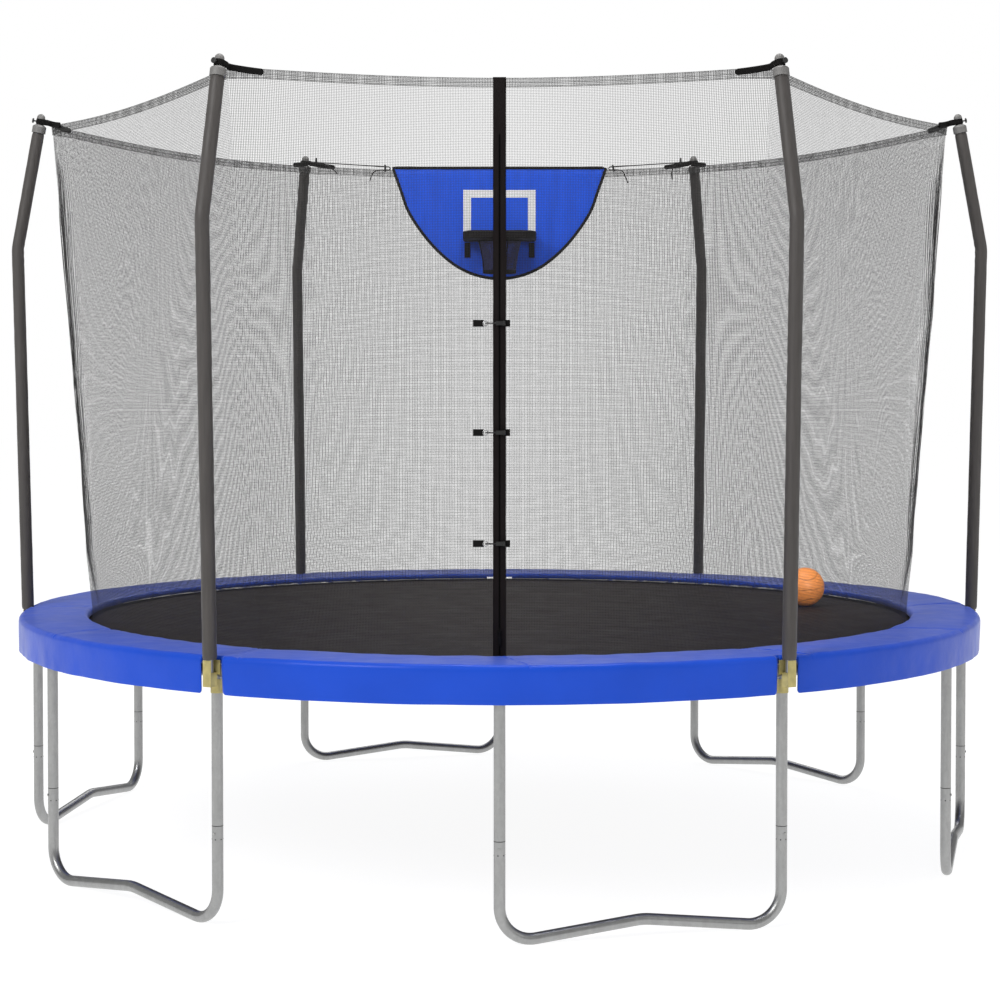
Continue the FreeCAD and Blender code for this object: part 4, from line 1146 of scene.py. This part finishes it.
def slot_cutter(angle):
    """The space round a pole's foot: straight, with rounded corners at the skirt's edge."""
    flare, steps = 13.0, 6
    side = [(SLOT_HALF, 960.0)]
    for k in range(steps + 1):
        a = pi / 2 * k / steps
        side.append((SLOT_HALF + flare * (1 - cos(a)), SKIRT_FOOT + 1 + flare * (1 - sin(a))))
    side.append((SLOT_HALF + flare, SKIRT_FOOT - 30))
    outline = side + [(-y, z) for y, z in reversed(side)]
    near = np.array([(SLOT_INNER, y, z) for y, z in outline])
    far = near + [120.0, 0, 0]
    block = capped(skin(np.array([near, far]), (False, True)), near[:, 1:] * MM,
                   far[:, 1:] * MM)
    return piece("cutter", turned_part(block, angle), PAD, body=None)


def carve(target, angles):
    """Cuts the poles' slots out of a piece, and tries a slightly moved cut if one fails."""
    bpy.context.view_layer.objects.active = target
    for angle in angles:
        whole = len(target.data.vertices)
        for nudge in (0.0, 0.013, -0.017, 0.029):
            kept = target.data.copy()
            cutter = slot_cutter(angle + nudge)
            cut = target.modifiers.new("cut", "BOOLEAN")
            cut.operation = "DIFFERENCE"
            cut.solver = "EXACT"
            cut.object = cutter
            bpy.ops.object.modifier_apply(modifier=cut.name)
            bpy.data.objects.remove(cutter)
            if len(target.data.vertices) > 0.8 * whole:
                break
            target.data = kept


def safety_pad():
    """Six sections of padded vinyl with slots for the poles."""
    for pole in POLES:
        section = pad_section(pole)
        carve(section, (pole, pole + 60.0))
        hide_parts("safety_pad", "pad_skirt")


safety_pad()


TAG_ABOVE_MAT = 6.6
TAG_TALL = 8.5


def tag():
    """A plain white cloth tag sewn to the pad's inner edge, opposite the door; it glows a little,
    as painted light.
    """
    across, up = np.meshgrid(np.linspace(-2.1, 2.1, 25), np.linspace(0, 1, 5))
    lean = 2.2 * soft_noise(np.stack([across * 20, up * 10, 0 * up], -1), 14.0, 31)
    radius = PAD_INNER - 2.2 - 1.6 * (1 - up) + lean * (1 - up)
    height = MAT_TOP + TAG_ABOVE_MAT + TAG_TALL * up
    outer = clock(radius, 180.0 + across, height)
    inner = clock(radius - 0.5, 180.0 + across, height)
    piece("pad_tag", slab(outer, inner), TAG, crease=60)


tag()


# ---- hoop ---------------------------------------------------------------------------------
def board_edge(count):
    """The board's curved edge as (x, drop) from its top right corner to its top left one."""
    right = [(x, -drop, 0) for x, drop in BOARD_OUTLINE]
    left = [(-x, z, 0) for x, z, _ in reversed(right[:-1])]
    return smooth_path(right + left, count)[:, :2]


def backboard():
    """The padded cloth board: crowned faces, soft creases and a sewn line inside its edge."""
    edge = board_edge(121)
    shares = np.concatenate([np.linspace(0, 0.9, 26), [0.94, 0.965, 0.985, 1.0]])
    top = np.stack([np.linspace(BOARD_HALF, -BOARD_HALF, len(edge)), np.zeros(len(edge))], -1)
    flat = top[None] + (edge - top)[None] * shares[:, None, None]
    x, drop = flat[..., 0], flat[..., 1]
    inset = np.minimum(shares, 1 - shares)[:, None] * np.ones_like(x)
    depth = np.linalg.norm(edge - top, axis=1)[None, :]
    room = np.minimum(inset * depth, 500 - abs(x) * 0.98 + 0 * depth)
    puff = np.clip(room / 26.0, 0, 1) ** 0.6
    stitch = np.exp(-((room - 15) / 2.6) ** 2)
    place = np.stack([x, np.zeros_like(x), BOARD_TOP + drop], -1)
    crease = soft_noise(place * [1, 1, 0.22], 46.0, 3) * np.clip(1 + drop / 420, 0.25, 1)
    half = 2.2 + 3.0 * puff - 1.2 * stitch
    middle = BOARD_FACE + BOARD_THICK / 2
    squeeze = np.clip(room / 6.0, 0, 1)
    x = x * (1 - 2.0 / BOARD_HALF)
    low = BOARD_TOP + drop - 1.0
    front = np.stack([x, middle - half - 1.0 * crease * squeeze, low], -1)
    back = np.stack([x, middle + half - 0.8 * crease * squeeze, low], -1)
    made = piece("backboard_look", slab(front, back), BOARD, crease=50)
    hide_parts("backboard")
    top_run = np.linspace(-BOARD_HALF, BOARD_HALF, 62)[1:-1]
    loop = np.concatenate([np.stack([edge[:, 0], 0 * edge[:, 0], edge[:, 1]], -1),
                           [[x0, 0, 0] for x0 in top_run]])
    loop = loop + [0, middle, BOARD_TOP]
    pipe = piece("backboard_piping_look",
                 sweep(loop, round_section(PIPING_RADIUS, 12), closed=True), PIPE,
                 crease=60)
    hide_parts("backboard_piping")


backboard()


def target_square():
    """The plain square printed on the board above the rim, as a thin film."""
    half, stroke, top = 165.5, 35.0, BOARD_TOP - 100.0
    foot = RIM_UNDER + 4.0
    bars = [((-half, foot), (stroke - half, top)), ((half - stroke, foot), (half, top)),
            ((stroke - half, top - stroke), (half - stroke, top))]
    board = bpy.data.objects["backboard_look"]
    parts = []
    for (x0, z0), (x1, z1) in bars:
        across = max(2, int((x1 - x0) / 7) + 1)
        up = max(2, int((z1 - z0) / 7) + 1)
        x, z = np.meshgrid(np.linspace(x0, x1, across), np.linspace(z0, z1, up))
        y = np.zeros_like(x)
        for k in np.ndindex(x.shape):
            hit = board.ray_cast(Vector((x[k] * MM, 1.40, z[k] * MM)), Vector((0, 1, 0)))
            y[k] = hit[1].y / MM - 0.35
        front = np.stack([x, y, z], -1)
        parts.append(slab(front, front + [0, 0.3, 0]))
    piece("board_target", joined(parts), TARGET, crease=60)


target_square()


def outline_point(angle):
    """The rim's outer edge in a direction from the hoop's centre, in plan."""
    half, corner = RIM_WIDE / 2, 70.0
    front = HOOP_BACK - RIM_DEEP
    dx, dy = sin(angle), cos(angle)
    best = 1e9
    if dx:
        best = min(best, (half if dx > 0 else -half) / dx)
    if dy:
        best = min(best, (HOOP_BACK if dy > 0 else front) / dy)
    x, y = dx * best, dy * best
    cx, cy = half - corner, front + corner
    if abs(x) > cx and y < cy:
        ax = cx if x > 0 else -cx
        b = -(dx * ax + dy * cy)
        c = ax * ax + cy * cy - corner * corner
        best = -b + sqrt(max(b * b - c, 0.0))
        x, y = dx * best, dy * best
    return x, y


def hoop_rim():
    """The foam rim in its cloth cover: rounded edges, a sewn seam round the rim and creases."""
    around = 240
    angles = np.linspace(0, 2 * pi, around, endpoint=False)
    outer = np.array([outline_point(a) for a in angles])
    inner = HOOP_RADIUS * np.stack([np.sin(angles), np.cos(angles)], -1)
    lo, hi = RIM_UNDER + 0.6, RIM_UNDER + RIM_THICK - 0.6
    edge = 10.0
    turn = np.linspace(0, pi / 2, 6)
    wide = np.linalg.norm(outer - inner, axis=1)
    ways = (outer - inner) / wide[:, None]
    rows = [(edge * (1 - sin(a)), hi - edge * (1 - cos(a))) for a in turn[::-1]]
    left = [(edge * (1 - sin(a)), lo + edge * (1 - cos(a))) for a in turn[::-1]]
    spots = [(d, z, 0) for d, z in rows[::-1]] + [(t, hi, 1) for t in (0.25, 0.5, 0.75)]
    spots += [(d, z, 2) for d, z in rows]
    spots += [(0.0, (lo + hi) / 2, 2)]
    spots += [(d, z, 2) for d, z in left[::-1]] + [(t, lo, 1) for t in (0.75, 0.5, 0.25)]
    spots += [(d, z, 0) for d, z in left] + [(0.0, (lo + hi) / 2, 0)]
    grid = []
    for d, z, kind in spots:
        if kind == 0:
            flat = inner + ways * d
        elif kind == 2:
            flat = outer - ways * d
        else:
            flat = inner + (outer - inner) * d
        grid.append(np.concatenate([flat, np.full((around, 1), z)], 1))
    grid = np.array(grid)
    grid[..., 1] += RIM_BACK - HOOP_BACK
    middle = (lo + hi) / 2
    bulge = soft_noise(grid, 34.0, 6)
    grid[..., 2] += np.sign(grid[..., 2] - middle) * (0.9 * bulge - 0.7)
    seam = np.exp(-((grid[..., 2] - middle) / 2.0) ** 2)
    centre = np.array([0, RIM_BACK - HOOP_BACK, 0])
    away = grid - centre
    away[..., 2] = 0
    away /= np.linalg.norm(away, axis=-1)[..., None]
    grid -= away * (seam * 0.9)[..., None] * np.sign(
        np.linalg.norm(grid[..., :2] - centre[:2], axis=-1) - HOOP_RADIUS - 6)[..., None]
    made = piece("hoop_rim_look", skin(grid, (True, True)), FOAM, "rim", 60)
    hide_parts("hoop_rim")


hoop_rim()


def hoop_net():
    """The tapered mesh basket with a plain hem at its foot and a band under the rim."""
    around = 96
    angles = np.linspace(0, 360, around, endpoint=False)
    depth = np.linspace(0, HOOP_NET_TALL - 1, 22)
    radius = HOOP_RADIUS - 2.4 - (HOOP_RADIUS - HOOP_NET_FOOT) * depth / HOOP_NET_TALL
    radius = radius - 4.0 * np.sin(pi * depth / HOOP_NET_TALL)
    folds = np.sin(np.radians(angles) * 9)[None, :] * 1.2 * np.sin(pi * depth / HOOP_NET_TALL
                                                                   )[:, None]

    def wall(offset, rows):
        ring = clock((radius[:, None] + folds + offset)[rows], angles[None, :],
                     (RIM_UNDER - 0.6 - depth)[rows][:, None])
        return ring + np.array([0, RIM_BACK - HOOP_BACK, 0])

    every, foot, head = slice(None), slice(19, None), slice(0, 2)
    net = piece("hoop_net_look", slab(wall(0, every), wall(-1.0, every), True), HOOP_MESH,
                "rim", 60)
    hem = piece("hoop_net_hem", slab(wall(0.9, foot), wall(-1.7, foot), True), WEBBING,
                "rim", 50)
    band = piece("hoop_net_band", slab(wall(0.9, head), wall(-1.7, head), True), WEBBING,
                 "rim", 50)
    parts = []
    for k in range(4):
        line = wall(1.4, every)[:, 6 + 24 * k % around]
        parts.append(sweep(line, round_section(2.3, 8)))
    ribs = piece("hoop_net_ribs", joined(parts), WEBBING, "rim", 50)
    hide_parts("hoop_net")
    for part in (net, hem, band, ribs):
        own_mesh(part)


hoop_net()


RIM_STRAP_OUT = 147.5
RIM_STRAP_WIDE, RIM_STRAP_THICK = 26.5, 3.2
RIM_STRAP_RUN = [(2.0, 3), (2.6, 30), (2.1, 71)]     # in front of the board, under the rim


def rim_straps():
    """Two sewn webbing straps on the board under the rim's ends."""
    parts = []
    for x in (RIM_STRAP_OUT, -RIM_STRAP_OUT):
        line = smooth_path([(x, BOARD_FACE - front, RIM_UNDER - drop)
                            for front, drop in RIM_STRAP_RUN], 16)
        parts.append(ribbon(line, RIM_STRAP_WIDE, RIM_STRAP_THICK, (1, 0, 0)))
    made = piece("rim_straps_look", joined(parts), WEBBING, crease=50)
    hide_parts("rim_straps")


rim_straps()


SEAM_DEEP = 0.8
SEAM_HALF = 1.3


def ball():
    """The small basketball: a sunk seam round its middle and a bowed one above and below."""
    low, high = box_mm("ball")
    centre = (low + high) / 2
    work = bmesh.new()
    bmesh.ops.create_icosphere(work, subdivisions=6, radius=1.0)
    tilt = Matrix.Rotation(radians(8), 3, "Z") @ Matrix.Rotation(radians(-6), 3, "Y") \
        @ Matrix.Rotation(radians(4), 3, "X")
    spin = np.array(tilt)
    unit = np.array([v.co for v in work.verts])
    unit /= np.linalg.norm(unit, axis=1)[:, None]
    own = unit @ spin
    x, z = own[:, 0], own[:, 2]
    bows = [abs(z - side * (0.50 + 0.55 * x * x)) / 1.25 for side in (1, -1)]
    far = np.min([abs(z)] + bows, axis=0) * BALL_RADIUS
    seam = np.clip(1.2 - far / SEAM_HALF, 0, 1)
    points = unit * (BALL_RADIUS - SEAM_DEEP * seam)[:, None] + centre
    for vert, place in zip(work.verts, points):
        vert.co = place * MM
    mesh = bpy.data.meshes.new("ball_look")
    work.to_mesh(mesh)
    work.free()
    mesh.polygons.foreach_set("use_smooth", [True] * len(mesh.polygons))
    marks = mesh.attributes.new("seam", "FLOAT", "POINT")
    marks.data.foreach_set("value", seam.astype(np.float32))
    mesh.materials.append(BALL)
    made = linked("ball_look", mesh)
    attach(made, "ball")
    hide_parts("ball")


ball()


# ---- floor and light ----------------------------------------------------------------------
FLOOR_SHADE = 0.25
SURROUND = 0.31              # what lights the scene; the camera sees plain white
FLOOR_GLOW = 0.923           # makes the unshaded floor as white as the surround


def floor():
    """A plain pale floor."""
    mesh = bpy.data.meshes.new("floor")
    reach = 60.0
    mesh.from_pydata([(-reach, -reach, 0), (reach, -reach, 0), (reach, reach, 0),
                      (-reach, reach, 0)], [], [(0, 1, 2, 3)])
    made, _, shader = start_material("floor_white")
    sets(shader, Base_Color=(FLOOR_SHADE, FLOOR_SHADE, FLOOR_SHADE, 1.0), Roughness=0.9,
         Specular_IOR_Level=0.0, Emission_Color=(1.0, 1.0, 1.0, 1.0),
         Emission_Strength=FLOOR_GLOW)
    mesh.materials.append(made)
    linked("floor", mesh)


def aimed(name, data, place, target):
    """A light at this place that points at the target."""
    made = linked(name, data)
    made.location = place
    way = Vector(target) - made.location
    made.rotation_euler = way.to_track_quat("-Z", "Y").to_euler()


# Name, place, target, size and power of each large soft light.
SOFT_LIGHTS = [("key", (-6.0, -8.5, 7.5), (0, 0, 1.2), 4.5, 640.0),
               ("fill", (8.0, -6.0, 4.5), (0, 0, 1.2), 6.0, 65.0),
               ("rim", (0.0, 8.5, 6.5), (0, 0, 1.5), 6.0, 160.0),
               ("top", (0.5, -0.8, 7.5), (0.5, 0, 1.0), 4.0, 310.0)]
ACCENT_PLACE = (2.2, -7.6, 3.6)
ACCENT_POWER = 3600.0
ACCENT_CONE = 5.5            # degrees


def lights():
    """Soft studio light: an even surround, four large lights and a narrow one on the ball."""
    world = bpy.data.worlds.new("studio")
    bpy.context.scene.world = world
    world.use_nodes = True
    tree = world.node_tree
    tree.nodes.clear()
    white = (1.0, 1.0, 1.0, 1.0)
    seen = node(tree, "Background", Color=white, Strength=1.0)
    lit = node(tree, "Background", Color=white, Strength=SURROUND)
    path = node(tree, "LightPath")
    mix = node(tree, "MixShader", i0=path.outputs["Is Camera Ray"], i1=lit.outputs[0],
               i2=seen.outputs[0])
    out = tree.nodes.new("ShaderNodeOutputWorld")
    tree.links.new(mix.outputs[0], out.inputs[0])
    for name, place, target, size, power in SOFT_LIGHTS:
        data = bpy.data.lights.new(name, "AREA")
        data.shape = "DISK"
        data.size = size
        data.energy = power
        aimed(name, data, place, target)
    data = bpy.data.lights.new("accent", "SPOT")
    data.energy = ACCENT_POWER
    data.spot_size = radians(ACCENT_CONE)
    data.spot_blend = 1.0
    data.shadow_soft_size = 0.08
    low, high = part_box("ball")
    aimed("accent", data, ACCENT_PLACE, (Vector(low) + Vector(high)) / 2)


floor()
lights()
scene = bpy.context.scene
scene.view_settings.view_transform = "Standard"
scene.view_settings.look = "None"
scene.cycles.transparent_max_bounces = 32
